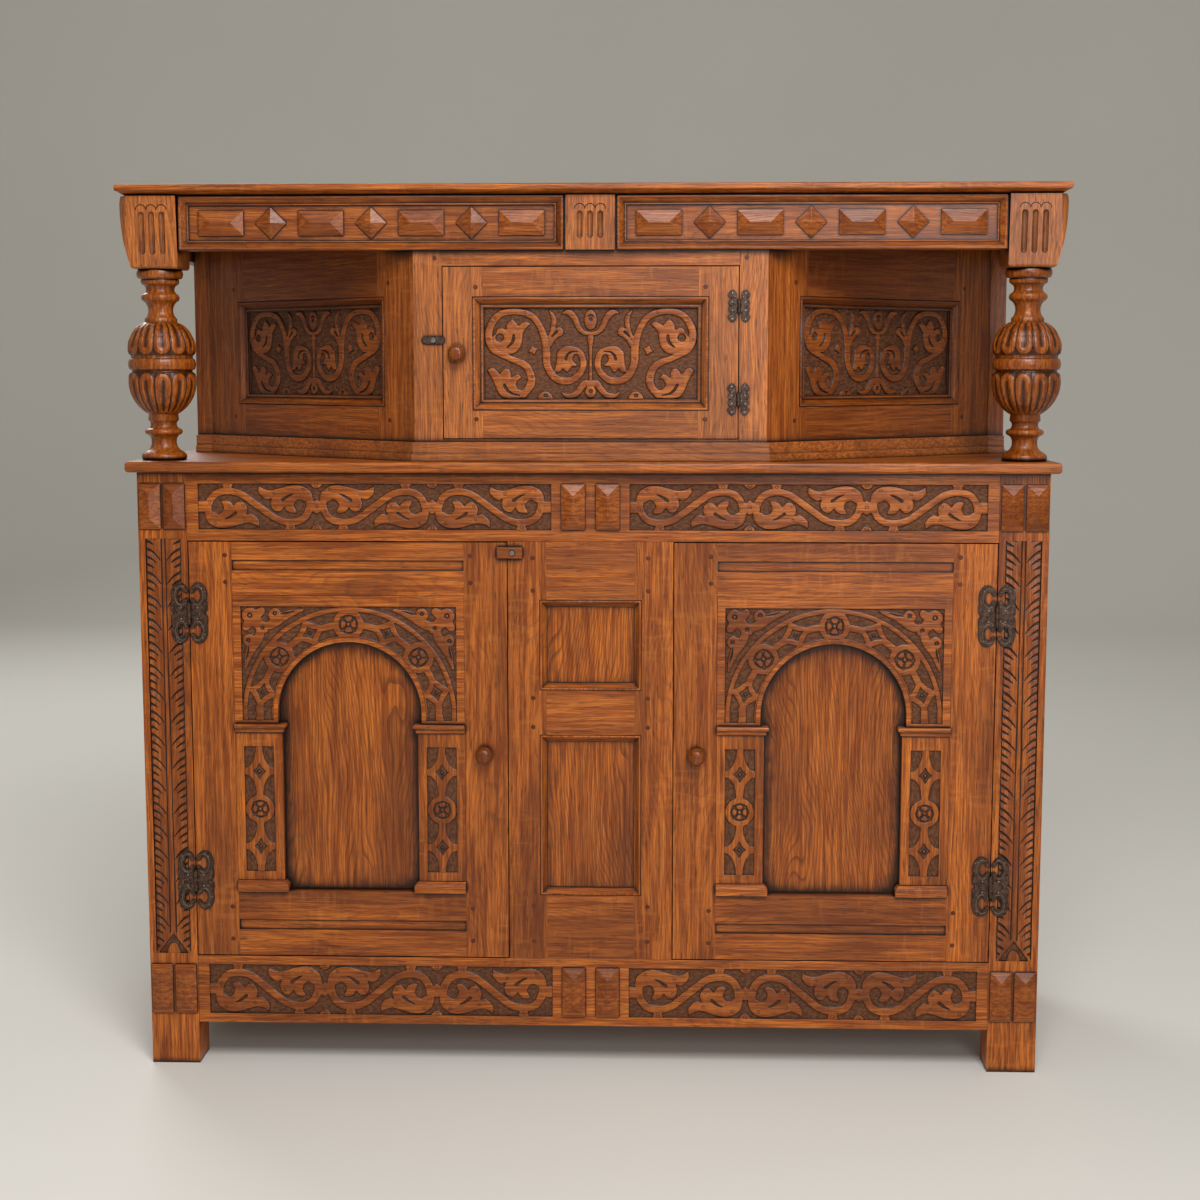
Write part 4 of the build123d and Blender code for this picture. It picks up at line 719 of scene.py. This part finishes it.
# The gouge cuts of a leaf: where each lies along the leaf's pitch, and how far out it starts.
LEAF_GOUGES = ((0.0, 0.04), (0.34, 0.46), (0.66, 0.3))
STEM_HALF = 2.0
FOOT_HEIGHT, FORK_HEIGHT, FORK_SLOPE, FORK_SPREAD = 36, 34, 0.75, 24
FORK_ARCH = (10.5, 17.0)


def forked_foot(cut, side, foot):
    """The cuts, given a forked foot with a small arch in it; foot is the height in the field."""
    spread = np.clip((FORK_HEIGHT - foot) * FORK_SLOPE, 0, FORK_SPREAD)
    legs = step(abs(side - spread), 3.4, 2.4) * step(foot, FOOT_HEIGHT, FOOT_HEIGHT - 6)
    between = step(side, spread, spread - 2)
    arch = step(np.hypot(side / FORK_ARCH[0], foot / FORK_ARCH[1]), 1.0, 0.9)
    forked = np.maximum(cut * (1 - between), 0.9 * between * (1 - arch))
    return np.clip(np.where(foot < FOOT_HEIGHT, forked, cut) * (1 - legs), 0, 1)


def post_field():
    """A stem with gouged leaves rising to both sides, and a forked foot."""
    relief = Relief(*POST_FIELD)
    half_width, half_height = POST_FIELD[0] / 2, POST_FIELD[1] / 2
    relief.gap[:] = -FAR
    side = abs(relief.u)
    down = (half_height - relief.v) / POST_FIELD[1]
    stem = STEM_HALF + STEM_HALF * down
    reach = np.clip((side - stem) / (half_width - stem), 0, 1)
    rise = LEAF_RISE * (1 - (1 - reach) ** LEAF_BEND)
    border = 0.7 * step(side, half_width - 1.9, half_width - 0.5)
    cut = np.maximum(border, 0.55 * step(abs(side - stem - 0.7), 0.9, 0.3))
    for share, start in LEAF_GOUGES:
        phase = ((relief.v - rise) / LEAF_PITCH - share + 0.5) % 1 - 0.5
        wide = 0.35 + 1.9 * np.clip((reach - start) / (1 - start), 0, 1) ** 1.4
        gouge = step(abs(phase) * LEAF_PITCH, wide + 0.7, wide - 0.5)
        gouge *= step(reach, start, start + 0.16)
        flute = 0.3 * step(phase, -0.3, -0.02) * step(phase, 0.02, 0)
        flute *= step(reach, start, start + 0.3)
        cut = np.maximum.reduce([cut, gouge, flute])
    relief.cut = forked_foot(cut, side, relief.v + half_height)
    return relief


# ---- arcades

ARCH_BASE_Y = -204.3
ARCH_DEPTH = 2.5
ARCH_FIELD = (322.0, 172.0)
ARCH_MIDDLE = (361.0, 620.0)
ARCH_CENTRE_V = -75.0
ARCH_INNER, ARCH_OUTER = 115.0, 161.0
ARCH_LINE = 7.6
ARCH_LIP = 1.6
MOTIF_RADIUS = 134.5
MOTIF_STEP = radians(25.4)
STEM_REACH, STEM_WIDTH = radians(18.5), 5.4
ARCH_STAR = (26, 23, 0.45)
ARCH_DIAMOND = (12.5, 9.5)
ARCH_ROSETTE = 23.5
ARCH_FOOT = [(0, 0, 6), (0, 8, 4), (-1, 20, 4.2)]
CORNER_BUD = (13.5, 13.5)
SPANDREL_LEAVES = (
    [(16, 16, 9), (27, 10, 7), (31, 7, 6)],
    [(22, 22, 10), (30, 31, 6.5), (36, 36, 4.5)],
    [(26, 27, 7), (38, 29, 6.5), (49, 25, 7.5), (60, 17, 7.5), (75, 10, 5.5), (93, 5, 2)],
)
SPANDREL_GOUGE = [(60, 11, 0.6), (70, 9.5, 1.2), (80, 6.5, 0.5)]


def on_arch(angle):
    """The move that stands a motif on the arch's middle line."""
    place = (MOTIF_RADIUS * cos(angle), ARCH_CENTRE_V + MOTIF_RADIUS * sin(angle))
    return mover(place, turn=angle - pi / 2)


def bow(angles, radius, half_width):
    """A band along the arch."""
    return [(radius * cos(a), ARCH_CENTRE_V + radius * sin(a), half_width) for a in angles]


def fit_to_arch(relief):
    """Drop the cells in the arch's opening, and pull those next to it onto its edge."""
    height = np.maximum(relief.v - ARCH_CENTRE_V, 0)
    radius = np.hypot(relief.u, height)
    close = (abs(radius - ARCH_INNER) < 0.7 * CELL) & (radius > 0)
    pull = np.where(close, (ARCH_INNER + 0.1) / np.maximum(radius, 1), 1.0)
    relief.u = relief.u * pull
    relief.v = np.where(height > 0, ARCH_CENTRE_V + height * pull, relief.v)
    relief.kept = np.hypot(relief.u, np.maximum(relief.v - ARCH_CENTRE_V, 0)) > ARCH_INNER


def arch_field():
    """An archivolt of rosettes and framed diamonds inside a band, with leaves in the corners."""
    relief = Relief(*ARCH_FIELD)
    fit_to_arch(relief)
    sweep = np.linspace(radians(-6), radians(186), 33)
    relief.stroke(bow(sweep, ARCH_OUTER - ARCH_LINE / 2, ARCH_LINE / 2))
    relief.stroke(bow(sweep, ARCH_INNER + ARCH_LIP / 2, ARCH_LIP))
    for turn in (-3, -1, 1, 3):
        angle = pi / 2 + turn * MOTIF_STEP
        relief.area(star_points(*ARCH_STAR), on_arch(angle))
        relief.stroke(bow(angle + np.linspace(-1, 1, 7) * STEM_REACH, MOTIF_RADIUS, STEM_WIDTH))
        framed_diamond(relief, *ARCH_DIAMOND, on_arch(angle))
    for turn in (-2, 0, 2):
        rosette(relief, ARCH_ROSETTE, on_arch(pi / 2 + turn * MOTIF_STEP))
    half_width, half_height = ARCH_FIELD[0] / 2, ARCH_FIELD[1] / 2
    for side in (-1, 1):
        spandrel(relief, mover((-side * half_width, half_height), (side, -1)))
        relief.stroke(ARCH_FOOT, mover((side * (MOTIF_RADIUS + 2), -half_height)))
    return relief


def mirrored(move):
    """The move for shapes that are first mirrored in the diagonal of the field."""
    return lambda points: move([(v, u, *rest) for u, v, *rest in points])


def spandrel(relief, move):
    """A corner bud and two rolled leaves, the same on both sides of the diagonal."""
    relief.disc(CORNER_BUD, 12.0, move)
    relief.ring(CORNER_BUD, 3.0, 0.8, 0.7, move)
    for fold in (move, mirrored(move)):
        for leaf in SPANDREL_LEAVES:
            relief.stroke(leaf, fold)
        relief.disc((51, 12), 10.0, fold)
        relief.ring((51, 10.5), 2.2, 0.8, 0.75, fold)
        relief.incise(SPANDREL_GOUGE, 0.6, fold)
    relief.pit((32, 32), 2.8, move)


# ---- pilasters

PILASTER_FIELD = (44.5, 191.5)
PILASTER_MIDDLE_Z = 398.25
PILASTER_OFFSET = 137.75
PILASTER_DIAMOND = 57.5
# The hollows between the stems: how far up the inner ones lie, and the wood left between two.
HOLLOW_UP, HOLLOW_GAP = 25.0, 5.0


def pilaster_field():
    """A rosette between two framed diamonds, joined by stems with hollow sides."""
    relief = Relief(*PILASTER_FIELD)
    half_width, half_height = PILASTER_FIELD[0] / 2, PILASTER_FIELD[1] / 2
    relief.gap[:] = -FAR
    for end in (-1, 1):
        for side in (-1, 1):
            outer = (side * half_width, end * (half_height + 0.5))
            inner = (side * half_width, end * HOLLOW_UP)
            reach = half_height - PILASTER_DIAMOND - HOLLOW_GAP
            relief.hollow(ellipse_points(outer, 17.0, reach))
            relief.hollow(ellipse_points(inner, 16.5, PILASTER_DIAMOND - HOLLOW_UP - HOLLOW_GAP))
        framed_diamond(relief, 9.5, 12.0, mover((0, end * PILASTER_DIAMOND)))
    rosette(relief, half_width - 0.3, mover())
    return relief


# ---- upper panels

PANEL_FIELD = (312.0, 132.0)
# The left half's running band, from the lower leaf up round the outer scroll and down to the
# inner one: each point's place and half width.
VINE = [
    (-99, -60, 5.5), (-87, -41, 6.2), (-94.5, -18, 5.6), (-120, -6, 4.6), (-144, 8, 5.5),
    (-149.5, 32, 6), (-135, 56, 5.2), (-110, 61.5, 4.6), (-85, 54, 5), (-71, 33, 5.2),
    (-65, 8, 6.2), (-63.5, -17, 5.8), (-50, -36.5, 5.6), (-27, -38, 5.4), (-11, -20, 5),
    (-15, 1, 5), (-34, 6.5, 5.6), (-43, 0, 6.4),
]
LOW_LEAF = (
    (-152.5, -24), [(-146.5, -20), (-140, -22), (-133.5, -29.5)],
    [(-129, -23), (-123.5, -21), (-118, -24), (-116.5, -34.5)],
    [(-111.5, -31), (-105.5, -30), (-101, -35.5)],
    [(-106, -38), (-109.5, -44), (-107, -50), (-101.5, -52.5), (-93.5, -49)],
    [(-95, -62), (-106, -65.5), (-119, -66), (-131, -63), (-138.5, -53), (-143, -41),
     (-152.5, -24)],
)
HIGH_LEAF = (
    (-139.5, 29), [(-137, 36), (-130.5, 38), (-124, 35)],
    [(-123, 43), (-119, 48), (-115, 50.5), (-109.5, 46.5), (-106, 41)],
    [(-101.5, 44.5), (-95, 47), (-87.5, 44)],
    [(-98, 32), (-99.5, 22.5), (-101.5, 13.5), (-106, 5.5), (-114, 0), (-124.5, 0), (-135.5, 4),
     (-146, 12)],
    [(-144, 24), (-139.5, 29)],
)
INNER_LEAF = (
    (-34, 10), [(-44, 6), (-49.5, -3), (-50.5, -14), (-54, -26)],
    [(-48.5, -27.5), (-44, -25.5), (-41.5, -21.5)],
    [(-38.5, -24), (-35, -27.5), (-30.5, -23), (-27.5, -18)], [(-23, -18.5), (-18.5, -16.5)],
    [(-22.5, -13.5), (-26, -9), (-25.5, -5), (-23, -1), (-16, -2)], [(-20, 8), (-34, 10)],
)
# Round each side of the panel: holes, gouge cuts, side shoots and punched dots. The last two
# shoots are the tulip's petal and the arm of its root.
PANEL_PITS = (((-133.5, 23.5), 5.6), ((-101.5, -44), 6.6), ((-22, -8), 4.2))
PANEL_GOUGES = (
    [(-127, -46, 1.7), (-122, -54, 1.5), (-114, -59, 0.9), (-105, -61, 0.5)],
    [(-113, 26.5, 1.3), (-113.5, 20, 1.8), (-117, 14, 1.2), (-123, 9, 0.5)],
    [(-36.5, -8, 1.6), (-34.5, -2, 1.2), (-28.5, 2.5, 0.8), (-20, 3, 0.5)],
)
BUD = (-46, 32)
BUD_GOUGE = [(-49.5, 32, 1.3), (-53.5, 28.5, 0.9), (-57, 25, 0.5)]
PANEL_SHOOTS = (
    [(-61, 21, 3.4), (-56, 34, 3.6), (-53.5, 48, 4.2), (-56, 56.5, 3.2), (-61, 63, 0.8)],
    [(-60, 14, 4.2), (-55, 21, 3.2), (-49.5, 27, 3.8), (*BUD, 5)],
    [(-42, 58.5, 0.8), (-36, 60.5, 3.2), (-29, 58.5, 5.2), (-22.5, 50.5, 4.8), (-17.5, 39, 4.4),
     (-10, 31, 3.4), (0, 29, 3)],
    [(0, -44, 5), (-9, -43.5, 5.2), (-15, -51, 5), (-23, -59.5, 4.6), (-33, -61.5, 3.8),
     (-39, -59.5, 2.6), (-42.5, -55.5, 0.8)],
)
PANEL_DOTS = ((-150, 20), (-141, 51), (-97, 59.5), (-86.5, -34), (-64.5, -8))
PANEL_STAR, STAR_TILT = (-84.3, 5.3), 0.28
FLOOR_BUD = -66.5
TULIP_STEM = [(0, 22.5, 5.2), (0, 14, 3.8), (0, 4, 2.6), (0, -18, 2.4), (0, -37, 3.2)]


def panel_side(relief, side):
    """The vine on one side of a panel, with its leaves, shoots and cuts."""
    move = mover(size=(side, 1))
    relief.stroke(VINE, move)
    for leaf in (LOW_LEAF, HIGH_LEAF, INNER_LEAF):
        relief.area(outline(*leaf), move)
    for centre, radius in PANEL_PITS:
        relief.pit(centre, radius, move)
    for gouge in PANEL_GOUGES:
        relief.incise(gouge, 0.85, move)
    for shoot in PANEL_SHOOTS:
        relief.stroke(shoot, move)
    relief.disc(BUD, 6.9, move)
    relief.incise(BUD_GOUGE, 0.9, move)
    star = mover((side * PANEL_STAR[0], PANEL_STAR[1]), (side, 1), side * STAR_TILT)
    relief.area(star_points(8.5, 8.0, 0.4), star)
    floor = -PANEL_FIELD[1] / 2
    relief.disc((FLOOR_BUD, floor - 0.5), 11.8, move)
    relief.ring((FLOOR_BUD, floor + 5), 2.0, 0.7, 0.6, move)
    for point in PANEL_DOTS:
        relief.ring(point, 1.7, 0.5, 0.4, move)


def panel_field():
    """Mirrored vines with three-lobed leaves either side of a tulip on its stem."""
    relief = Relief(*PANEL_FIELD)
    for side in (-1, 1):
        panel_side(relief, side)
    relief.area(ellipse_points((0, 49.5), 9.8, 15.0))
    relief.incise([(-4, 54, 0.5), (0, 56, 1.1), (4, 54, 0.5)], 0.7)
    relief.ring((0, 50), 1.8, 0.7, 0.6)
    relief.stroke(TULIP_STEM)
    relief.area(ellipse_points((0, -55.5), 8.3, 9.3))
    relief.ring((0, -55), 2.0, 0.7, 0.6)
    return relief


# ---- placing the carvings

UPPER_FRONT = -202.0
CANT_START = (258.5, UPPER_FRONT)
CANT_FIELD_MIDDLE, CANT_FIELD_SINK = 239.5, 12.0
PANEL_BASE_Y, DOOR_PANEL_Z, CANT_PANEL_Z = -190.0, 1079.5, 1082.5
# The canted panels' fields are this much longer than the door's.
CANT_LENGTHWISE = 316.0 / 312.0


def on_cant(side, sink):
    """The middle of a canted side's field, sunk behind the front of its frame."""
    x = CANT_START[0] + CANT_FIELD_MIDDLE * cos(CANT) - sink * sin(CANT)
    y = CANT_START[1] + CANT_FIELD_MIDDLE * sin(CANT) + sink * cos(CANT)
    return (side * x, y, CANT_PANEL_Z)


def cant_axes(side, lengthwise=1.0):
    """The ways across, up and out of a canted side."""
    across = (lengthwise * cos(CANT), side * lengthwise * sin(CANT), 0)
    return across, (0, 0, 1), (side * sin(CANT), -cos(CANT), 0)


posts = post_field()
arches = arch_field()
pilasters = pilaster_field()
panels = panel_field()
for side, hand in HANDS:
    place = (side * POST_MIDDLE[0], FRONT + POCKET, POST_MIDDLE[1])
    carve(f"post_leaves_{hand}", posts, "root", "oak_frame", oak_carved_upright, place)
    door = (f"{hand}_door", "oak_arcade")
    name = f"arch_carving_{hand}"
    place = (side * ARCH_MIDDLE[0], ARCH_BASE_Y, ARCH_MIDDLE[1])
    carve(name, arches, *door, oak_carved_across, place, depth=ARCH_DEPTH)
    for edge, end in ((-1, "a"), (1, "b")):
        name = f"pilaster_carving_{hand}_{end}"
        x = side * ARCH_MIDDLE[0] + edge * PILASTER_OFFSET
        place = (x, ARCH_BASE_Y, PILASTER_MIDDLE_Z)
        carve(name, pilasters, *door, oak_carved_upright, place, depth=ARCH_DEPTH)
    name = f"cant_panel_carving_{hand}"
    place, axes = on_cant(side, CANT_FIELD_SINK), cant_axes(side, CANT_LENGTHWISE)
    carve(name, panels, "root", "oak_panels", oak_cant, place, axes)
place = (0, PANEL_BASE_Y, DOOR_PANEL_Z)
carve("upper_door_carving", panels, "upper_door", "oak_panels", oak_carved_across, place)

# ---- turned columns

# The mouldings of the turning from the foot up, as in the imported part: the radius and height
# where each ends and, where it is round, those of a point half way along it.
TURNING = (
    (31.5, 0), (31, 10, 33.3, 5), (27, 13), (18.4, 28, 20, 19.5),
    (25, 38, 20, 34), (25, 46, 27.6, 42), (22, 47), (22.5, 59, 19, 53.5),
    (21.7, 68), (50, 112, 41.5, 86.5), (47.8, 129, 49.7, 121), (44.2, 130),
    (44.2, 133), (47.5, 134), (47.5, 149, 49.4, 141.5), (45, 150), (45, 154),
    (47.8, 155), (45.3, 183, 50, 168), (23.8, 203, 37.5, 195), (23.8, 208),
    (23.5, 233, 18, 220.5), (23.5, 245, 27.8, 239), (23.5, 257, 20.6, 251),
    (27, 266, 27.8, 261.5), (31.5, 267), (31.5, 280, 33.8, 273), (0, 280),
)
LOBES = 12
COLUMN_AT = (639.0, -171.0)
COLUMN_Z = (922.5, 1203.0)
CUP_Z, COVER_Z = (68.0, 129.0), (155.0, 203.0)
# The bulb's long curves get more points, its lobes fade out towards a neck of the given radius,
# and the ground between them is this much as dark as that of a carved field, which also sets the
# painted shade on the grooves' walls.
BULB_RADIUS, BULB_POINTS, SMALL_POINTS = 44, 34, 9
NECK_RADIUS, FADE = 21, 10
COLUMN_SUNK = 0.22


def arc(start, middle, end, count):
    """Points on the circle through three points, from the first to the last."""
    a, b, c = (complex(*p) for p in (start, middle, end))
    w = (c - a) / (b - a)
    centre = (b - a) * (w - abs(w) ** 2) / (2j * w.imag) + a
    sweep = np.angle((c - centre) / (a - centre))
    way = np.angle((b - centre) / (a - centre))
    if sweep * way < 0:
        sweep -= np.copysign(2 * pi, sweep)
    spots = centre + (a - centre) * np.exp(1j * sweep * np.linspace(0, 1, count + 1)[1:])
    return [(spot.real, spot.imag) for spot in spots]


def gadroons(angle, radius, run):
    """How deep the lobes' carving goes at an angle, run millimetres from their round ends."""
    lobe = (angle * LOBES / (2 * pi)) % 1 - 0.5
    half = radius * pi / LOBES
    across = lobe * 2 * half
    reach = np.minimum(run - half, 0)
    edge = np.hypot(across, reach) - half
    inner_reach = np.minimum(run - 1.05 * half, 0)
    flute = np.hypot(across, inner_reach) - 0.5 * half
    groove = 1.5 * step(edge, -1.6, -0.5)
    hollow = 2.1 * np.sqrt(np.clip(-flute / (0.5 * half), 0, 1))
    crown = 0.9 * (across / half) ** 2
    return groove + hollow + crown


def column(side, hand):
    """One cup-and-cover column, gadrooned on both halves of its bulb."""
    profile = [(0.0, 0.0)]
    for radius, height, *middle in TURNING:
        end = (radius, height)
        long = radius > BULB_RADIUS or height == COVER_Z[1]
        count = BULB_POINTS if long else SMALL_POINTS
        profile += arc(profile[-1], middle, end, count) if middle else [end]
    profile = np.array(profile)
    radius, height = profile.T
    run = np.concatenate(([0], np.cumsum(np.hypot(np.diff(radius), np.diff(height)))))
    around = np.linspace(0, 2 * pi, 24 * LOBES, endpoint=False)
    carved = np.zeros((len(profile), len(around)))
    for low, high, rim in ((*CUP_Z, CUP_Z[1]), (*COVER_Z, COVER_Z[0])):
        rows = np.flatnonzero((height >= low) & (height <= high) & (radius > NECK_RADIUS))
        start = run[rows[np.argmin(abs(height[rows] - rim))]]
        for row in rows:
            fade = min(1.0, (radius[row] - NECK_RADIUS) / FADE)
            carved[row] = fade * gadroons(around, radius[row], abs(run[row] - start))
    shown = radius[:, None] - np.minimum(carved, radius[:, None])
    stretch = (COLUMN_Z[1] - COLUMN_Z[0]) / TURNING[-1][1]
    x = side * COLUMN_AT[0] + shown * np.cos(around)
    y = COLUMN_AT[1] + shown * np.sin(around)
    z = np.broadcast_to(COLUMN_Z[0] + height[:, None] * stretch, x.shape)
    points = np.stack((x, y, z), -1)[1:-1].reshape(-1, 3)
    faces = tube_faces(len(profile) - 2, len(around))
    sunk = step(carved, 0.9, 2.0)[1:-1].reshape(-1) * COLUMN_SUNK
    name, sides = f"gadrooned_column_{hand}", len(faces) - 2
    return make_piece(name, points, faces, oak_turned, "root", sunk, sides)


left_column = column(-1, "left")
column(1, "right")
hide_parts("columns")

# ---- beads round the panels

SIDES_OF_BEAD = 10
BEAD_SINK = 0.35


def bead_frame(name, middle, half, axes, radius, body, material):
    """A rounded, mitred bead round a panel, sunk by a part of its radius in the wood it lies on."""
    across, up, out = (np.array(v, float) for v in axes)
    points = []
    for u, v in ((-1, -1), (1, -1), (1, 1), (-1, 1)):
        for i in range(SIDES_OF_BEAD):
            turn = 2 * pi * i / SIDES_OF_BEAD
            wide, high = radius * cos(turn), radius * (sin(turn) - BEAD_SINK)
            flat = u * (half[0] + wide) * across + v * (half[1] + wide) * up
            points.append(np.array(middle) + flat + high * out)
    faces = []
    for corner in range(4):
        for i in range(SIDES_OF_BEAD):
            j = (i + 1) % SIDES_OF_BEAD
            a, b = corner * SIDES_OF_BEAD, (corner + 1) % 4 * SIDES_OF_BEAD
            faces.append((a + i, b + i, b + j, a + j))
    if np.dot(np.cross(across, up), out) < 0:
        faces = [face[::-1] for face in faces]
    return make_piece(name, points, faces, material, body)


# Each bead of the moulding round an upper panel: how far outside the panel's opening it lies, how
# far before the frame's front, and its radius. Those of the frieze lie inside its outer edge.
PANEL_BEADS = ((12.75, 0.0, 2.0), (2.25, -7.0, 1.7))
DOOR_OPENING, CANT_OPENING = (157.5, 67.5), (159.5, 66.0)
CENTRE_OPENINGS, CENTRE_HALF_WIDTH = ((592.0, 707.0), (279.0, 504.0)), 65.5
CENTRE_BEAD_OUT, CENTRE_BEAD_RADIUS = 8.25, 1.5
FRIEZE_BEADS = ((2.0, 9.0, 1.8), (12.0, 2.5, 1.4))
FRIEZE_MIDDLE, FRIEZE_HALF = (319.25, 1268.0), (280.75, 39.0)

for number, (reach, height, radius) in enumerate(PANEL_BEADS):
    name = f"upper_door_bead_{number}"
    middle = (0, UPPER_FRONT - height, DOOR_PANEL_Z)
    half = [value + reach for value in DOOR_OPENING]
    bead_frame(name, middle, half, UPRIGHT, radius, "upper_door", oak_painted_light_across)
    half = [value + reach for value in CANT_OPENING]
    for side, hand in HANDS:
        name = f"cant_bead_{hand}_{number}"
        bead_frame(name, on_cant(side, -height), half, cant_axes(side), radius, "root", oak_cant)
for number, (bottom, top) in enumerate(CENTRE_OPENINGS):
    name = f"centre_bead_{number}"
    middle = (0, FRONT, (bottom + top) / 2)
    half = (CENTRE_HALF_WIDTH + CENTRE_BEAD_OUT, (top - bottom) / 2 + CENTRE_BEAD_OUT)
    bead_frame(name, middle, half, UPRIGHT, CENTRE_BEAD_RADIUS, "root", oak_upright)
for side, hand in HANDS:
    for number, (inset, lift, radius) in enumerate(FRIEZE_BEADS):
        name = f"frieze_bead_{hand}_{number}"
        middle = (side * FRIEZE_MIDDLE[0], UPPER_FRONT - lift, FRIEZE_MIDDLE[1])
        half = [value - inset for value in FRIEZE_HALF]
        bead_frame(name, middle, half, UPRIGHT, radius, "root", oak_frieze)

# ---- beads on the large hinges

HINGE_X, HINGE_FACE = 598.75, -208.0
HINGE_LEVELS = {"top": 695.5, "low": 287.5}
# A lobe's middle from the pin and from the hinge's middle, and the bead that runs round it.
LOBE = (12.0, 26.5)
BEAD_RADII, BEAD_THICK = (9.2, 14.4), 1.3
BEAD_OPENING, BEAD_TAPER = radians(48), 0.3


def bead(name, centre, away, body):
    """A raised bead of iron along an open ring, its gap on the side of the pin."""
    last = 2 * pi - BEAD_OPENING
    sweep = np.linspace(BEAD_OPENING, last, 25)
    x = centre[0] - away * BEAD_RADII[0] * np.cos(sweep)
    z = centre[2] + BEAD_RADII[1] * np.sin(sweep)
    along = np.stack((away * BEAD_RADII[0] * np.sin(sweep), BEAD_RADII[1] * np.cos(sweep)), -1)
    along /= np.hypot(*along.T)[:, None]
    ends = np.clip(np.minimum(sweep - BEAD_OPENING, last - sweep) / BEAD_TAPER, 0.35, 1)
    around = np.linspace(0, 2 * pi, 8, endpoint=False)
    points = []
    for place_x, place_z, (a, b), size in zip(x, z, along, ends * BEAD_THICK):
        for turn in around:
            wide, high = size * cos(turn), size * sin(turn)
            points.append((place_x + b * wide, centre[1] - high, place_z - a * wide))
    faces = tube_faces(len(sweep), len(around))
    if away > 0:
        faces = [face[::-1] for face in faces]
    return make_piece(name, points, faces, rubbed_glinting_iron, body, flat_from=len(faces) - 2)


for side, hand in HANDS:
    for level, height in HINGE_LEVELS.items():
        for away, body, part in ((side, "root", "frame"), (-side, f"{hand}_door", "door")):
            for lift, end in ((-1, "lower"), (1, "upper")):
                centre = (side * HINGE_X + away * LOBE[0], HINGE_FACE, height + lift * LOBE[1])
                bead(f"hinge_bead_{hand}_{level}_{part}_{end}", centre, away, body)

# ---- room, lamps and camera

# The floor's half width, its near and far ends, the backdrop's top and the bend between them.
HALF_WIDTH, NEAR_END, FAR_END, TOP_END, BEND = 9.0, -8.0, 6.5, 6.0, 1.6
BEND_STEPS = 16


def room():
    """A pale floor that curves up into a pale backdrop."""
    f = Finish("pale_floor")
    tint = f.noise(f.place, (0.8, 0.8, 0.8), 3.0)
    f.surface("Base Color", f.mix(tint, srgb(214, 212, 206), srgb(222, 220, 214)))
    f.surface("Roughness", 0.7)
    profile = [(NEAR_END, 0.0)]
    for turn in range(BEND_STEPS + 1):
        angle = pi / 2 * turn / BEND_STEPS
        profile.append((FAR_END - BEND + BEND * sin(angle), BEND - BEND * cos(angle)))
    profile.append((FAR_END, TOP_END))
    points = [(x, y, z) for y, z in profile for x in (-HALF_WIDTH, HALF_WIDTH)]
    faces = [(2 * i, 2 * i + 1, 2 * i + 3, 2 * i + 2) for i in range(len(profile) - 1)]
    mesh = bpy.data.meshes.new("room")
    mesh.from_pydata(points, [], faces)
    mesh.materials.append(f.material)
    for face in mesh.polygons:
        face.use_smooth = True
    new_object("room", mesh)


def lamp(name, place, target, size, power):
    """A square soft box at place, turned to the target."""
    light = bpy.data.lights.new(name, "AREA")
    light.shape = "SQUARE"
    light.size = size
    light.energy = power
    piece = new_object(name, light)
    piece.location = place
    piece.rotation_euler = (Vector(target) - Vector(place)).to_track_quat("-Z", "Y").to_euler()


CAMERA_PLACE, LENS = (0.1084, -3.0501, 1.0576), 58.06
CAMERA_PITCH, CAMERA_YAW = 0.11891, 0.0331


def camera():
    """The photograph's view: a little to the right of the middle, as high as the upper storey."""
    lens = bpy.data.cameras.new("camera")
    lens.sensor_width = 36.0
    lens.lens = LENS
    piece = new_object("camera", lens)
    piece.location = CAMERA_PLACE
    piece.rotation_euler = (pi / 2 - CAMERA_PITCH, 0.0, CAMERA_YAW)
    scene.camera = piece


# Each lamp's place, size and power: a soft key above the camera, a weak fill beside it, and one
# behind the cupboard.
LAMPS = {
    "key": ((0.4, -2.4, 2.9), 1.4, 78),
    "fill": ((0.9, -3.1, 1.4), 0.8, 22),
    "rear": ((-2.2, 3.4, 3.4), 2.0, 70),
}
LIT_MIDDLE = (0, 0, 0.85)


def light_the_room():
    """The lamps and an even pale world."""
    world = bpy.data.worlds.new("world")
    world.use_nodes = True
    background = world.node_tree.nodes["Background"]
    background.inputs["Color"].default_value = srgb(244, 240, 230)
    background.inputs["Strength"].default_value = 0.38
    scene.world = world
    for name, (place, size, power) in LAMPS.items():
        lamp(name, place, LIT_MIDDLE, size, power)


room()
camera()
light_the_room()
scene.view_settings.view_transform = "Standard"
